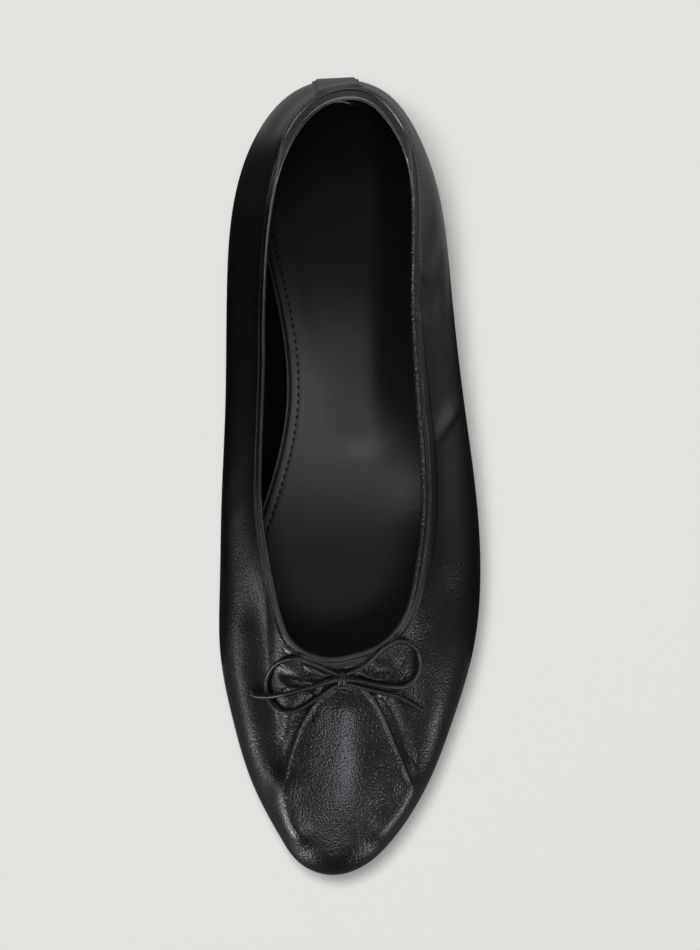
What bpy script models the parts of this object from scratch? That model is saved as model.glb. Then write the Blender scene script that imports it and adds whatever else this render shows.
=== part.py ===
"""A woman's flat shoe for the left foot: a soft leather upper with a bound topline and a cord bow,
on a thin sole with a low heel.

Metres, +Z up, standing on z = 0. The toe points along -Y and the outer side of the foot is at +X.
The wall of the upper is lofted over ribs. Each rib starts at the edge of the sole, passes the
widest line of the shoe and ends at the topline.
"""

from collections import namedtuple

import bmesh
import bpy
import numpy as np
from mathutils import Matrix
from mathutils import Vector
from mathutils.bvhtree import BVHTree

# Driving sizes
SHOE_LENGTH = 0.250
BALL_WIDTH = 0.0814
BACK_HEIGHT = 0.062
HEEL_HEIGHT = 0.008
TOE_SPRING = 0.004

# Thicknesses, and the gap left between pieces that meet
SOLE_THICKNESS = 0.0035
WALL = 0.0016
INSOLE_THICKNESS = 0.0035
BINDING_THICKNESS = 0.0024
STRIP_THICKNESS = 0.0012
GAP = 0.0003

# Widths
SOLE_EDGE = 0.0015
INSOLE_FLARE = 0.0004
INSOLE_INSET = 0.0010
BINDING_WIDTH = 0.0040
STRIP_WIDTH = 0.0145
CORD = 0.0015

# Where the sole leaves and meets the floor, as shares of the length from the heel
HEEL_BREAST = 0.21
HEEL_SEAT_END = 0.22
TREAD_START = 0.60
TREAD_END = 0.83

# How far the wall is drawn upwards from its widest line and inwards to the topline
PULL_UP = 0.55
PULL_IN = 0.50

# Samples between one rib and the next, and up each rib
RIB_STEPS = 3
TURN_STEPS = 5
WALL_STEPS = 10
RUNG_STEPS = 6

# The widest line of the shoe, one row a section. Along is a share of the length from the heel.
# Inner and outer are shares of the ball width from the middle, on the two sides of the foot.
# High is the share of the wall's rise where it is widest. Tuck is how far the sole's edge lies in.
Girth = namedtuple("Girth", "along inner outer high_inner high_outer tuck_inner tuck_outer")
GIRTH = (
    Girth(0.006, -0.044, -0.044, 0.24, 0.24, 0.055, 0.055),
    Girth(0.021, -0.213, 0.128, 0.24, 0.24, 0.058, 0.058),
    Girth(0.073, -0.356, 0.256, 0.25, 0.24, 0.064, 0.060),
    Girth(0.144, -0.437, 0.337, 0.28, 0.25, 0.085, 0.066),
    Girth(0.260, -0.473, 0.386, 0.42, 0.30, 0.175, 0.085),
    Girth(0.408, -0.479, 0.437, 0.55, 0.36, 0.235, 0.105),
    Girth(0.548, -0.495, 0.491, 0.42, 0.33, 0.150, 0.088),
    Girth(0.640, -0.500, 0.500, 0.30, 0.28, 0.072, 0.066),
    Girth(0.718, -0.499, 0.474, 0.26, 0.25, 0.055, 0.056),
    Girth(0.804, -0.451, 0.398, 0.24, 0.23, 0.053, 0.053),
    Girth(0.891, -0.367, 0.292, 0.22, 0.22, 0.052, 0.052),
    Girth(0.953, -0.267, 0.171, 0.20, 0.20, 0.052, 0.052),
    Girth(0.984, -0.197, 0.075, 0.19, 0.19, 0.052, 0.052),
    Girth(1.000, -0.064, -0.064, 0.19, 0.19, 0.052, 0.052),
)

# The topline at the same sections. Height is a share of the back height, and the slopes are the
# wall's angle from level, in degrees, where it reaches the topline.
Topline = namedtuple("Topline", "along_inner inner along_outer outer height slope_inner slope_outer")
TOPLINE = (
    Topline(0.027, -0.030, 0.027, -0.030, 1.000, 80.0, 80.0),
    Topline(0.042, -0.143, 0.035, 0.087, 0.985, 79.0, 78.0),
    Topline(0.085, -0.245, 0.078, 0.194, 0.915, 77.0, 74.0),
    Topline(0.148, -0.303, 0.140, 0.240, 0.815, 75.0, 70.0),
    Topline(0.260, -0.337, 0.260, 0.241, 0.710, 73.0, 64.0),
    Topline(0.408, -0.345, 0.408, 0.263, 0.645, 70.0, 58.0),
    Topline(0.544, -0.350, 0.544, 0.284, 0.605, 63.0, 53.0),
    Topline(0.621, -0.317, 0.620, 0.258, 0.588, 53.0, 47.0),
    Topline(0.660, -0.292, 0.666, 0.227, 0.578, 42.0, 38.0),
    Topline(0.693, -0.260, 0.700, 0.166, 0.570, 31.0, 28.0),
    Topline(0.712, -0.224, 0.720, 0.084, 0.563, 22.0, 20.0),
    Topline(0.725, -0.167, 0.728, 0.006, 0.558, 15.0, 15.0),
    Topline(0.730, -0.122, 0.731, -0.033, 0.557, 13.0, 13.0),
    Topline(0.732, -0.078, 0.732, -0.078, 0.556, 13.0, 13.0),
)

# The bow's knot on the vamp, as shares of the length and ball width, and its half sizes
KNOT_ALONG = 0.7536
KNOT_ACROSS = -0.0314
KNOT_HALF = (0.0015, 0.0026, 0.0018)

# The bow's cords in millimetres from the knot. Lift is the air between cord and leather.
Route = namedtuple("Route", "across toward_toe lift")
LOOP_INNER = (
    Route(-2.2, -1.4, 0.6),
    Route(-7.7, -3.9, 0.9),
    Route(-14.3, -6.2, 0.7),
    Route(-20.5, -4.5, 0.4),
    Route(-23.6, 0.6, 0.4),
    Route(-22.8, 6.8, 0.4),
    Route(-18.8, 10.4, 0.4),
    Route(-13.5, 9.7, 0.4),
    Route(-6.8, 5.6, 0.4),
    Route(-2.2, 2.4, 0.6),
)
END_INNER = (
    Route(-2.2, 0.7, 2.4),
    Route(-9.3, 2.7, 1.9),
    Route(-17.6, 4.8, 2.3),
    Route(-22.9, 5.7, 2.5),
    Route(-27.3, 5.4, 1.0),
    Route(-28.8, 3.9, 0.5),
)
LOOP_OUTER = (
    Route(2.2, -1.5, 0.8),
    Route(7.2, -4.2, 1.0),
    Route(13.0, -9.5, 1.3),
    Route(18.8, -11.6, 1.3),
    Route(23.8, -8.1, 0.8),
    Route(24.0, -2.3, 0.5),
    Route(20.1, 2.3, 0.5),
    Route(13.5, 2.5, 0.9),
    Route(6.0, 1.0, 1.9),
    Route(2.2, 0.5, 2.5),
)
END_OUTER = (
    Route(2.2, 1.9, 0.4),
    Route(8.9, 3.7, 0.4),
    Route(17.2, 5.8, 0.4),
    Route(25.1, 10.1, 0.5),
)


def closed_spline(knots, values, wanted):
    """Values of a smooth closed curve through a loop of values, read at the wanted places."""
    count = len(values)
    steps = np.diff(knots)
    before = np.roll(steps, 1)
    jumps = (np.roll(values, -1, axis=0) - values) / steps[:, None]
    system = np.zeros((count, count))
    for i in range(count):
        system[i, i - 1] += before[i]
        system[i, i] += 2 * (before[i] + steps[i])
        system[i, (i + 1) % count] += steps[i]
    bend = np.linalg.solve(system, 6 * (jumps - np.roll(jumps, 1, axis=0)))
    wanted = np.mod(wanted, knots[-1])
    left = np.clip(np.searchsorted(knots, wanted, side="right") - 1, 0, count - 1)
    right = (left + 1) % count
    step = steps[left][:, None]
    far = (knots[left + 1] - wanted)[:, None]
    near = (wanted - knots[left])[:, None]
    curved = (bend[left] * far**3 + bend[right] * near**3) / (6 * step)
    start = (values[left] / step - bend[left] * step / 6) * far
    end = (values[right] / step - bend[right] * step / 6) * near
    return curved + start + end


def unit(vectors):
    """Vectors brought to a length of one."""
    return vectors / np.linalg.norm(vectors, axis=-1, keepdims=True)


def round_the_shoe(outer, inner):
    """A loop from the heel along the outer side to the toe and back along the inner side."""
    return np.array(list(outer) + list(inner[-2:0:-1]))


def to_y(along):
    """Place on the shoe's axis for a share of the length from the heel."""
    return SHOE_LENGTH * (0.5 - np.asarray(along))


def sole_bottom(y):
    """Height of the sole's underside above the floor at a place along the shoe."""
    along = 0.5 - np.asarray(y) / SHOE_LENGTH
    arch = np.clip((along - HEEL_SEAT_END) / (TREAD_START - HEEL_SEAT_END), 0, 1)
    spring = np.clip((along - TREAD_END) / (1 - TREAD_END), 0, 1)
    return HEEL_HEIGHT * (1 + np.cos(np.pi * arch)) / 2 + TOE_SPRING * spring**2


def sole_top(y):
    """Height of the sole's upper face at a place along the shoe."""
    return sole_bottom(y) + SOLE_THICKNESS


RIBS = 2 * (len(GIRTH) - 1)
GIRTH_LOOP = np.column_stack([
    BALL_WIDTH * round_the_shoe([g.outer for g in GIRTH], [g.inner for g in GIRTH]),
    to_y(round_the_shoe([g.along for g in GIRTH], [g.along for g in GIRTH])),
    round_the_shoe([g.high_outer for g in GIRTH], [g.high_inner for g in GIRTH]),
    BALL_WIDTH * round_the_shoe([g.tuck_outer for g in GIRTH], [g.tuck_inner for g in GIRTH]),
])
TOP_LOOP = np.column_stack([
    BALL_WIDTH * round_the_shoe([t.outer for t in TOPLINE], [t.inner for t in TOPLINE]),
    to_y(round_the_shoe([t.along_outer for t in TOPLINE], [t.along_inner for t in TOPLINE])),
    BACK_HEIGHT * round_the_shoe([t.height for t in TOPLINE], [t.height for t in TOPLINE]),
    np.radians(round_the_shoe([t.slope_outer for t in TOPLINE], [t.slope_inner for t in TOPLINE])),
])
CHORDS = np.linalg.norm(np.roll(GIRTH_LOOP[:, :2], -1, axis=0) - GIRTH_LOOP[:, :2], axis=1)
KNOTS = np.concatenate([[0.0], np.cumsum(CHORDS)])


def read_loop(loop, places):
    """A loop's columns at places counted in ribs, the heel being 0."""
    turns = np.mod(places, RIBS)
    return closed_spline(KNOTS, loop, np.interp(turns, np.arange(RIBS + 1), KNOTS))


def plan_normals(points):
    """Outward directions of a closed ring of points, in plan."""
    run = np.roll(points[:, :2], -1, axis=0) - np.roll(points[:, :2], 1, axis=0)
    return unit(np.column_stack([-run[:, 1], run[:, 0]]))


def ribs(places):
    """Sole edge, widest point, two pulls and topline point of the rib at each place."""
    girth = read_loop(GIRTH_LOOP, places)
    ahead = read_loop(GIRTH_LOOP, places + 0.02)
    behind = read_loop(GIRTH_LOOP, places - 0.02)
    run = unit(ahead[:, :2] - behind[:, :2])
    outward = np.column_stack([-run[:, 1], run[:, 0]])
    foot = np.column_stack([girth[:, :2] - outward * girth[:, 3:], np.zeros(len(girth))])
    foot[:, 2] = sole_top(foot[:, 1]) + GAP
    line = read_loop(TOP_LOOP, places)
    top = line[:, :3]
    widest = np.column_stack([girth[:, :2], foot[:, 2] + girth[:, 2] * (top[:, 2] - foot[:, 2])])
    inward = unit(top[:, :2] - widest[:, :2])
    aim = np.column_stack([inward * np.cos(line[:, 3:]), np.sin(line[:, 3])])
    lower_pull = widest.copy()
    lower_pull[:, 2] += PULL_UP * (top[:, 2] - widest[:, 2])
    upper_pull = top - aim * PULL_IN * np.linalg.norm(top - widest, axis=1)[:, None]
    return foot, widest, lower_pull, upper_pull, top


def wall(places, turn, rise, stop=BINDING_WIDTH + GAP):
    """Grid of points on the outside of the upper, a row for each place.

    Turn runs from 0 at the sole's edge to 1 at the widest line, and rise from 0 there to 1 where
    the wall stops short of the topline.
    """
    foot, widest, lower_pull, upper_pull, top = ribs(places)
    angle = np.asarray(turn)[None, :, None] * np.pi / 2
    out = (widest - foot) * np.array([1.0, 1.0, 0.0])
    up = (widest - foot) * np.array([0.0, 0.0, 1.0])
    low = foot[:, None] + out[:, None] * np.sin(angle) + up[:, None] * (1 - np.cos(angle))
    share = np.linspace(0, 1, 81)[None, :, None]
    curve = (
        widest[:, None] * (1 - share) ** 3
        + 3 * lower_pull[:, None] * share * (1 - share) ** 2
        + 3 * upper_pull[:, None] * share**2 * (1 - share)
        + top[:, None] * share**3
    )
    high = []
    for line in curve:
        lengths = np.linalg.norm(np.diff(line, axis=0), axis=1)
        reach = np.concatenate([[0.0], np.cumsum(lengths)])
        wanted = np.asarray(rise) * (reach[-1] - stop)
        high.append(np.column_stack([np.interp(wanted, reach, line[:, k]) for k in range(3)]))
    return np.concatenate([low, np.array(high)], axis=1)


def shader(name, colour, roughness):
    """A plain material."""
    material = bpy.data.materials.new(name)
    material.use_nodes = True
    principled = material.node_tree.nodes["Principled BSDF"]
    principled.inputs["Base Color"].default_value = (*colour, 1.0)
    principled.inputs["Roughness"].default_value = roughness
    principled.inputs["Metallic"].default_value = 0.0
    return material


def add(name, data, material, smooth=True):
    """A named piece in the shoe's collection."""
    piece = bpy.data.objects.new(name, data)
    data.materials.append(material)
    if smooth and isinstance(data, bpy.types.Mesh):
        data.polygons.foreach_set("use_smooth", [True] * len(data.polygons))
    SHOE.objects.link(piece)
    piece.parent = CENTRE
    return piece


def mesh_from(name, points, faces):
    """A mesh whose faces are turned to point outwards."""
    mesh = bpy.data.meshes.new(name)
    mesh.from_pydata([tuple(p) for p in points], [], faces)
    shape = bmesh.new()
    shape.from_mesh(mesh)
    bmesh.ops.recalc_face_normals(shape, faces=shape.faces)
    shape.to_mesh(mesh)
    shape.free()
    return mesh


def grid_faces(columns, rows, closed):
    """Quads of a grid whose points are listed column by column."""
    faces = []
    for i in range(columns if closed else columns - 1):
        j = (i + 1) % columns
        for k in range(rows - 1):
            faces.append((i * rows + k, j * rows + k, j * rows + k + 1, i * rows + k + 1))
    return faces


def plate(name, rings, dish, material):
    """A solid through rings listed from bottom to top, closed by rungs from side to side.

    Dish lowers the middle of the upper face.
    """
    count = len(rings[0])
    half = count // 2
    points = [tuple(p) for ring in rings for p in ring]
    faces = []
    for level in range(len(rings) - 1):
        for i in range(count):
            j = (i + 1) % count
            base = level * count
            faces.append((base + i, base + j, base + count + j, base + count + i))
    for level, depth in ((0, 0.0), (len(rings) - 1, dish)):
        ring = rings[level]
        rungs = []
        for i in range(1, half):
            rung = [level * count + i]
            for step in range(1, RUNG_STEPS):
                share = step / RUNG_STEPS
                middle = ring[i] * (1 - share) + ring[count - i] * share
                middle = middle - np.array([0.0, 0.0, depth * 4 * share * (1 - share)])
                rung.append(len(points))
                points.append(tuple(middle))
            rung.append(level * count + count - i)
            rungs.append(rung)
        for rung, after in zip(rungs, rungs[1:]):
            for k in range(RUNG_STEPS):
                faces.append((rung[k], rung[k + 1], after[k + 1], after[k]))
        for tip, rung in ((level * count, rungs[0]), (level * count + half, rungs[-1])):
            for k in range(RUNG_STEPS):
                faces.append((tip, rung[k], rung[k + 1]))
    return add(name, mesh_from(name, points, faces), material, smooth=False)


def shift(ring, distance):
    """A ring moved outwards in plan."""
    moved = ring.copy()
    moved[:, :2] += plan_normals(ring) * distance
    return moved


def at_height(ring, height):
    """A ring with its height worked out along the shoe."""
    moved = ring.copy()
    moved[:, 2] = height(ring[:, 1])
    return moved


def make_outsole(edge):
    """Thin plate with a narrow waist, an arch and a toe spring."""
    rim = shift(edge, SOLE_EDGE)
    rings = [at_height(rim, sole_bottom), at_height(rim, sole_top)]
    return plate("outsole", rings, 0.0, shader("outsole_rubber", (0.018, 0.018, 0.019), 0.55))


def make_heel(edge):
    """Low block under the heel seat, with a straight breast."""
    rim = shift(edge, SOLE_EDGE - 0.0008)
    breast = to_y(HEEL_BREAST)
    outer = [p for p in rim[: len(rim) // 2] if p[1] > breast]
    inner = [p for p in rim[len(rim) // 2:] if p[1] > breast]
    outline = inner + outer
    outline.append(np.array([outer[-1][0], breast, 0.0]))
    outline.append(np.array([inner[0][0], breast, 0.0]))
    lift = np.array([0.0, 0.0, HEEL_HEIGHT - GAP])
    flat = np.array([1.0, 1.0, 0.0])
    count = len(outline)
    points = [p * flat for p in outline] + [p * flat + lift for p in outline]
    faces = [tuple(range(count)), tuple(range(count, 2 * count))]
    for i in range(count):
        j = (i + 1) % count
        faces.append((i, j, count + j, count + i))
    mesh = mesh_from("heel", points, faces)
    return add("heel", mesh, shader("heel_rubber", (0.016, 0.016, 0.017), 0.6), smooth=False)


def make_upper(places):
    """Hollow wall, open at the topline and underneath, turned in at the edge of the sole."""
    turn = np.linspace(0, 1, TURN_STEPS + 1)
    rise = np.linspace(0, 1, WALL_STEPS + 1)[1:] ** 1.3
    grid = wall(places, turn, rise)
    columns, rows = grid.shape[:2]
    mesh = mesh_from("upper", grid.reshape(-1, 3), grid_faces(columns, rows, True))
    piece = add("upper", mesh, shader("upper_leather", (0.02, 0.02, 0.021), 0.42))
    skin = piece.modifiers.new("wall", "SOLIDIFY")
    skin.thickness = WALL
    skin.offset = -1.0
    skin.use_even_offset = True
    return piece


def make_insole(edge):
    """Cushioned sock with a rim that spreads over the turned-in wall."""
    rise = WALL + 2 * GAP
    inside = shift(edge, -INSOLE_INSET)
    flared = shift(edge, INSOLE_FLARE)
    rings = [
        at_height(inside, lambda y: sole_top(y) + GAP),
        at_height(inside, lambda y: sole_top(y) + GAP + rise),
        at_height(flared, lambda y: sole_top(y) + GAP + rise + GAP),
        at_height(flared, lambda y: sole_top(y) + GAP + INSOLE_THICKNESS),
    ]
    return plate("insole", rings, 0.0006, shader("insole_leather", (0.024, 0.024, 0.025), 0.5))


def make_binding(places):
    """Folded band that finishes the topline."""
    upper_pull, top = ribs(places)[3:]
    climb = unit(top - upper_pull)
    run = unit(np.roll(top, -1, axis=0) - np.roll(top, 1, axis=0))
    outward = unit(np.cross(climb, run))
    middle = top - climb * BINDING_WIDTH / 2 - outward * WALL / 2
    around = np.arange(8) * np.pi / 4 + np.pi / 8
    tall = np.sign(np.sin(around)) * np.abs(np.sin(around)) ** 0.7 * BINDING_WIDTH / 2
    deep = np.sign(np.cos(around)) * np.abs(np.cos(around)) ** 0.7 * BINDING_THICKNESS / 2
    band = middle[:, None] + climb[:, None] * tall[:, None] + outward[:, None] * deep[:, None]
    faces = []
    for i in range(len(band)):
        j = (i + 1) % len(band)
        for k in range(8):
            m = (k + 1) % 8
            faces.append((i * 8 + k, j * 8 + k, j * 8 + m, i * 8 + m))
    mesh = mesh_from("topline_binding", band.reshape(-1, 3), faces)
    return add("topline_binding", mesh, shader("binding_leather", (0.022, 0.022, 0.023), 0.4))


def make_strip():
    """Overlay on the seam at the back of the heel, from the binding down to the sole."""
    outer_reach = STRIP_WIDTH / 2 / CHORDS[0]
    inner_reach = STRIP_WIDTH / 2 / CHORDS[-1]
    places = np.linspace(-inner_reach, outer_reach, 9)
    grid = wall(places, np.linspace(0.35, 1, 5), np.linspace(0, 0.985, 12)[1:])
    sideways = np.gradient(grid, axis=0)
    upwards = np.gradient(grid, axis=1)
    outward = unit(np.cross(upwards, sideways))
    grid = grid + outward * GAP
    columns, rows = grid.shape[:2]
    faces = [tuple(reversed(f)) for f in grid_faces(columns, rows, False)]
    mesh = bpy.data.meshes.new("back_strip")
    mesh.from_pydata([tuple(p) for p in grid.reshape(-1, 3)], [], faces)
    if mesh.polygons[0].normal.dot(Vector(outward[0, 0])) < 0:
        mesh.flip_normals()
    piece = add("back_strip", mesh, shader("strip_leather", (0.022, 0.022, 0.023), 0.4))
    skin = piece.modifiers.new("thickness", "SOLIDIFY")
    skin.thickness = STRIP_THICKNESS
    skin.offset = 1.0
    return piece


def leather_surface():
    """The outside of the upper up to the topline, to lay the bow on."""
    places = np.arange(0, RIBS, 1 / 6)
    grid = wall(places, [0.5], np.linspace(0, 1, 60), 0.0)
    columns, rows = grid.shape[:2]
    points = [Vector(p) for p in grid.reshape(-1, 3)]
    return BVHTree.FromPolygons(points, grid_faces(columns, rows, True))


def rest_height(leather, x, y):
    """Height of the leather under a place in plan."""
    hit = leather.ray_cast(Vector((x, y, 0.2)), Vector((0, 0, -1)))[0]
    return hit.z


def cord_points(route, leather):
    """Points along a smooth curve through a cord's route, one every two diameters or so."""
    stops = []
    for stop in route:
        x = KNOT_ACROSS * BALL_WIDTH + stop.across / 1000
        y = to_y(KNOT_ALONG) - stop.toward_toe / 1000
        height = rest_height(leather, x, y) + CORD / 2 + stop.lift / 1000
        stops.append(np.array([x, y, height]))
    stops = np.array(stops)
    before = np.vstack([2 * stops[0] - stops[1], stops[:-1]])
    after = np.vstack([stops[1:], 2 * stops[-1] - stops[-2]])
    slope = (after - before) / 2
    fine = []
    for i in range(len(stops) - 1):
        for t in np.linspace(0, 1, 24, endpoint=False):
            fine.append(
                stops[i] * (2 * t**3 - 3 * t**2 + 1)
                + slope[i] * (t**3 - 2 * t**2 + t)
                + stops[i + 1] * (3 * t**2 - 2 * t**3)
                + slope[i + 1] * (t**3 - t**2)
            )
    fine.append(stops[-1])
    fine = np.array(fine)
    reach = np.concatenate([[0.0], np.cumsum(np.linalg.norm(np.diff(fine, axis=0), axis=1))])
    count = max(5, int(round(reach[-1] / (2.0 * CORD))) + 1)
    wanted = np.linspace(0, reach[-1], count)
    return np.column_stack([np.interp(wanted, reach, fine[:, k]) for k in range(3)])


def make_cord(name, route, leather, material):
    """A length of round cord."""
    points = cord_points(route, leather)
    curve = bpy.data.curves.new(name, "CURVE")
    curve.dimensions = "3D"
    curve.bevel_depth = CORD / 2
    curve.bevel_resolution = 2
    curve.use_fill_caps = True
    line = curve.splines.new("POLY")
    line.points.add(len(points) - 1)
    for place, point in zip(line.points, points):
        place.co = (*point, 1.0)
    return add(name, curve, material, smooth=False)


def make_knot(leather):
    """The bow's knot."""
    x = KNOT_ACROSS * BALL_WIDTH
    y = to_y(KNOT_ALONG)
    highest = max(rest_height(leather, x, y + KNOT_HALF[1] * k) for k in (-1, 0, 1))
    shape = bmesh.new()
    place = Matrix.Translation((x, y, highest + KNOT_HALF[2] + GAP))
    size = Matrix.Diagonal((*KNOT_HALF, 1.0))
    bmesh.ops.create_uvsphere(shape, u_segments=14, v_segments=8, radius=1.0, matrix=place @ size)
    mesh = bpy.data.meshes.new("bow_knot")
    shape.to_mesh(mesh)
    shape.free()
    return add("bow_knot", mesh, shader("bow_knot_cord", (0.03, 0.03, 0.031), 0.6))


for old in list(bpy.data.objects):
    bpy.data.objects.remove(old, do_unlink=True)
SHOE = bpy.data.collections.new("flat_shoe")
bpy.context.scene.collection.children.link(SHOE)
CENTRE = bpy.data.objects.new("shoe_centre", None)
SHOE.objects.link(CENTRE)

PLACES = np.arange(0, RIBS, 1 / RIB_STEPS)
SOLE_LINE = ribs(PLACES)[0]
LEATHER = leather_surface()

make_outsole(SOLE_LINE)
make_heel(SOLE_LINE)
make_upper(PLACES)
make_insole(SOLE_LINE)
make_binding(PLACES)
make_strip()
make_knot(LEATHER)
for cord_name, cord_route in (
    ("bow_loop_medial", LOOP_INNER),
    ("bow_loop_lateral", LOOP_OUTER),
    ("bow_end_medial", END_INNER),
    ("bow_end_lateral", END_OUTER),
):
    make_cord(cord_name, cord_route, LEATHER, shader(cord_name + "_cord", (0.03, 0.03, 0.031), 0.6))
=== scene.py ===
import math

import bpy
import numpy as np
from mathutils import Matrix, Vector, noise
from mathutils.bvhtree import BVHTree
from mathutils.kdtree import KDTree


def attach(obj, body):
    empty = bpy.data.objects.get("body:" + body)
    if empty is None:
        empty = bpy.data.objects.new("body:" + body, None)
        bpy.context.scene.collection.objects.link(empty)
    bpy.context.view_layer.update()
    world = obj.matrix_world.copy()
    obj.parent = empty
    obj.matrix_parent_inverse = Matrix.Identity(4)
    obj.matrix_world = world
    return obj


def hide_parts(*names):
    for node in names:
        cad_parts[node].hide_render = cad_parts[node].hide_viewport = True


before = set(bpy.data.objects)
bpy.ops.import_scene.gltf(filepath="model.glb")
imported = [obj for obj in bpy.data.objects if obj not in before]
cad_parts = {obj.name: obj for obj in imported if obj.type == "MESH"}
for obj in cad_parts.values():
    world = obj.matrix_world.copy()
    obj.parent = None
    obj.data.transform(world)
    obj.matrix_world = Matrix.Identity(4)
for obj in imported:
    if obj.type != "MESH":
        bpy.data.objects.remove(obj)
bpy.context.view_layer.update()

mm = 0.001
print("frame loaded:", sorted(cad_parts))


# The shape of the last, with the solids' sections, and the binding's widths in millimetres. The toe is
# at -Y, the outer side at +X.
last = {
    "length": 0.250, "ballWidth": 0.0814, "backHeight": 0.062, "heelHeight": 0.008, "toeSpring": 0.004,
    "soleThickness": 0.0035, "wall": 0.0016, "insoleThickness": 0.0035, "soleEdge": 0.0015, "gap": 0.0003,
    "heelBreast": 0.21, "heelSeatEnd": 0.22, "treadStart": 0.60, "treadEnd": 0.83,
    "pullUp": 0.55, "pullIn": 0.50,
    # along, inner, outer, highInner, highOuter, tuckInner, tuckOuter
    "girth": (
        (0.006, -0.044, -0.044, 0.24, 0.24, 0.055, 0.055),
        (0.021, -0.213, 0.128, 0.24, 0.24, 0.058, 0.058),
        (0.073, -0.356, 0.256, 0.25, 0.24, 0.064, 0.060),
        (0.144, -0.437, 0.337, 0.28, 0.25, 0.085, 0.066),
        (0.260, -0.473, 0.386, 0.42, 0.30, 0.175, 0.085),
        (0.408, -0.479, 0.437, 0.55, 0.36, 0.235, 0.105),
        (0.548, -0.495, 0.491, 0.42, 0.33, 0.150, 0.088),
        (0.640, -0.500, 0.500, 0.30, 0.28, 0.072, 0.066),
        (0.718, -0.499, 0.474, 0.26, 0.25, 0.055, 0.056),
        (0.804, -0.451, 0.398, 0.24, 0.23, 0.053, 0.053),
        (0.891, -0.367, 0.292, 0.22, 0.22, 0.052, 0.052),
        (0.953, -0.267, 0.171, 0.20, 0.20, 0.052, 0.052),
        (0.984, -0.197, 0.075, 0.19, 0.19, 0.052, 0.052),
        (1.000, -0.064, -0.064, 0.19, 0.19, 0.052, 0.052),
    ),
    # alongInner, inner, alongOuter, outer, height, slopeInner, slopeOuter, stripInner, stripOuter
    "topline": (
        (0.027, -0.030, 0.027, -0.030, 1.000, 80.0, 80.0, 5.0, 5.0),
        (0.042, -0.143, 0.035, 0.087, 0.985, 79.0, 78.0, 5.0, 5.0),
        (0.085, -0.245, 0.078, 0.194, 0.915, 77.0, 74.0, 5.0, 5.0),
        (0.148, -0.303, 0.140, 0.240, 0.815, 75.0, 70.0, 5.2, 4.6),
        (0.260, -0.337, 0.260, 0.241, 0.710, 73.0, 64.0, 4.2, 4.8),
        (0.408, -0.345, 0.408, 0.263, 0.645, 70.0, 58.0, 3.4, 6.2),
        (0.544, -0.350, 0.544, 0.284, 0.605, 63.0, 53.0, 3.2, 6.8),
        (0.621, -0.317, 0.620, 0.258, 0.588, 53.0, 47.0, 3.0, 5.2),
        (0.660, -0.292, 0.666, 0.227, 0.578, 42.0, 38.0, 2.8, 3.4),
        (0.693, -0.260, 0.700, 0.166, 0.570, 31.0, 28.0, 2.3, 2.4),
        (0.712, -0.224, 0.720, 0.084, 0.563, 22.0, 20.0, 2.1, 2.2),
        (0.725, -0.167, 0.728, 0.006, 0.558, 15.0, 15.0, 2.1, 2.1),
        (0.730, -0.122, 0.731, -0.033, 0.557, 13.0, 13.0, 2.1, 2.1),
        (0.732, -0.078, 0.732, -0.078, 0.556, 13.0, 13.0, 2.1, 2.1),
    ),
}
ribCount = 2 * (len(last["girth"]) - 1)


def unit(vectors):
    return vectors / np.linalg.norm(vectors, axis=-1, keepdims=True)


def smoothStep(value, start, end):
    share = np.clip((np.asarray(value) - start) / (end - start), 0, 1)
    return share * share * (3 - 2 * share)


# One between two soft ends, else none
def between(value, start, end):
    return smoothStep(value, *start) * (1 - smoothStep(value, *end))


def toY(along):
    return last["length"] * (0.5 - np.asarray(along))


def fromHeel(y):
    return last["length"] / 2 - np.asarray(y)


def soleBottom(y):
    along = fromHeel(y) / last["length"]
    arch = np.clip((along - last["heelSeatEnd"]) / (last["treadStart"] - last["heelSeatEnd"]), 0, 1)
    spring = np.clip((along - last["treadEnd"]) / (1 - last["treadEnd"]), 0, 1)
    return last["heelHeight"] * (1 + np.cos(np.pi * arch)) / 2 + last["toeSpring"] * spring ** 2


def soleTop(y):
    return soleBottom(y) + last["soleThickness"]


# Smooth closed curve through a loop of rows, read at places counted in ribs from the heel
class ClosedCurve:
    def __init__(self, knots, rows):
        self.knots, self.rows = knots, rows
        self.steps = np.diff(knots)
        before = np.roll(self.steps, 1)
        jumps = (np.roll(rows, -1, axis=0) - rows) / self.steps[:, None]
        system = np.diag(2 * (before + self.steps))
        for i in range(len(rows)):
            system[i, i - 1] += before[i]
            system[i, (i + 1) % len(rows)] += self.steps[i]
        self.bend = np.linalg.solve(system, 6 * (jumps - np.roll(jumps, 1, axis=0)))

    def at(self, places):
        count = len(self.rows)
        turns = np.mod(places, count)
        wanted = np.interp(turns, np.arange(count + 1), self.knots)
        left = np.clip(turns.astype(int), 0, count - 1)
        right = (left + 1) % count
        step = self.steps[left][:, None]
        far = (self.knots[left + 1] - wanted)[:, None]
        near = (wanted - self.knots[left])[:, None]
        bent = (self.bend[left] * far ** 3 + self.bend[right] * near ** 3) / (6 * step)
        start = (self.rows[left] / step - self.bend[left] * step / 6) * far
        end = (self.rows[right] / step - self.bend[right] * step / 6) * near
        return bent + start + end


# From the heel along the outer side to the toe, then back along the inner side
def roundTheShoe(rows, outerColumn, innerColumn):
    outer = [row[outerColumn] for row in rows]
    inner = [row[innerColumn] for row in rows]
    return np.array(outer + inner[-2:0:-1])


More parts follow.
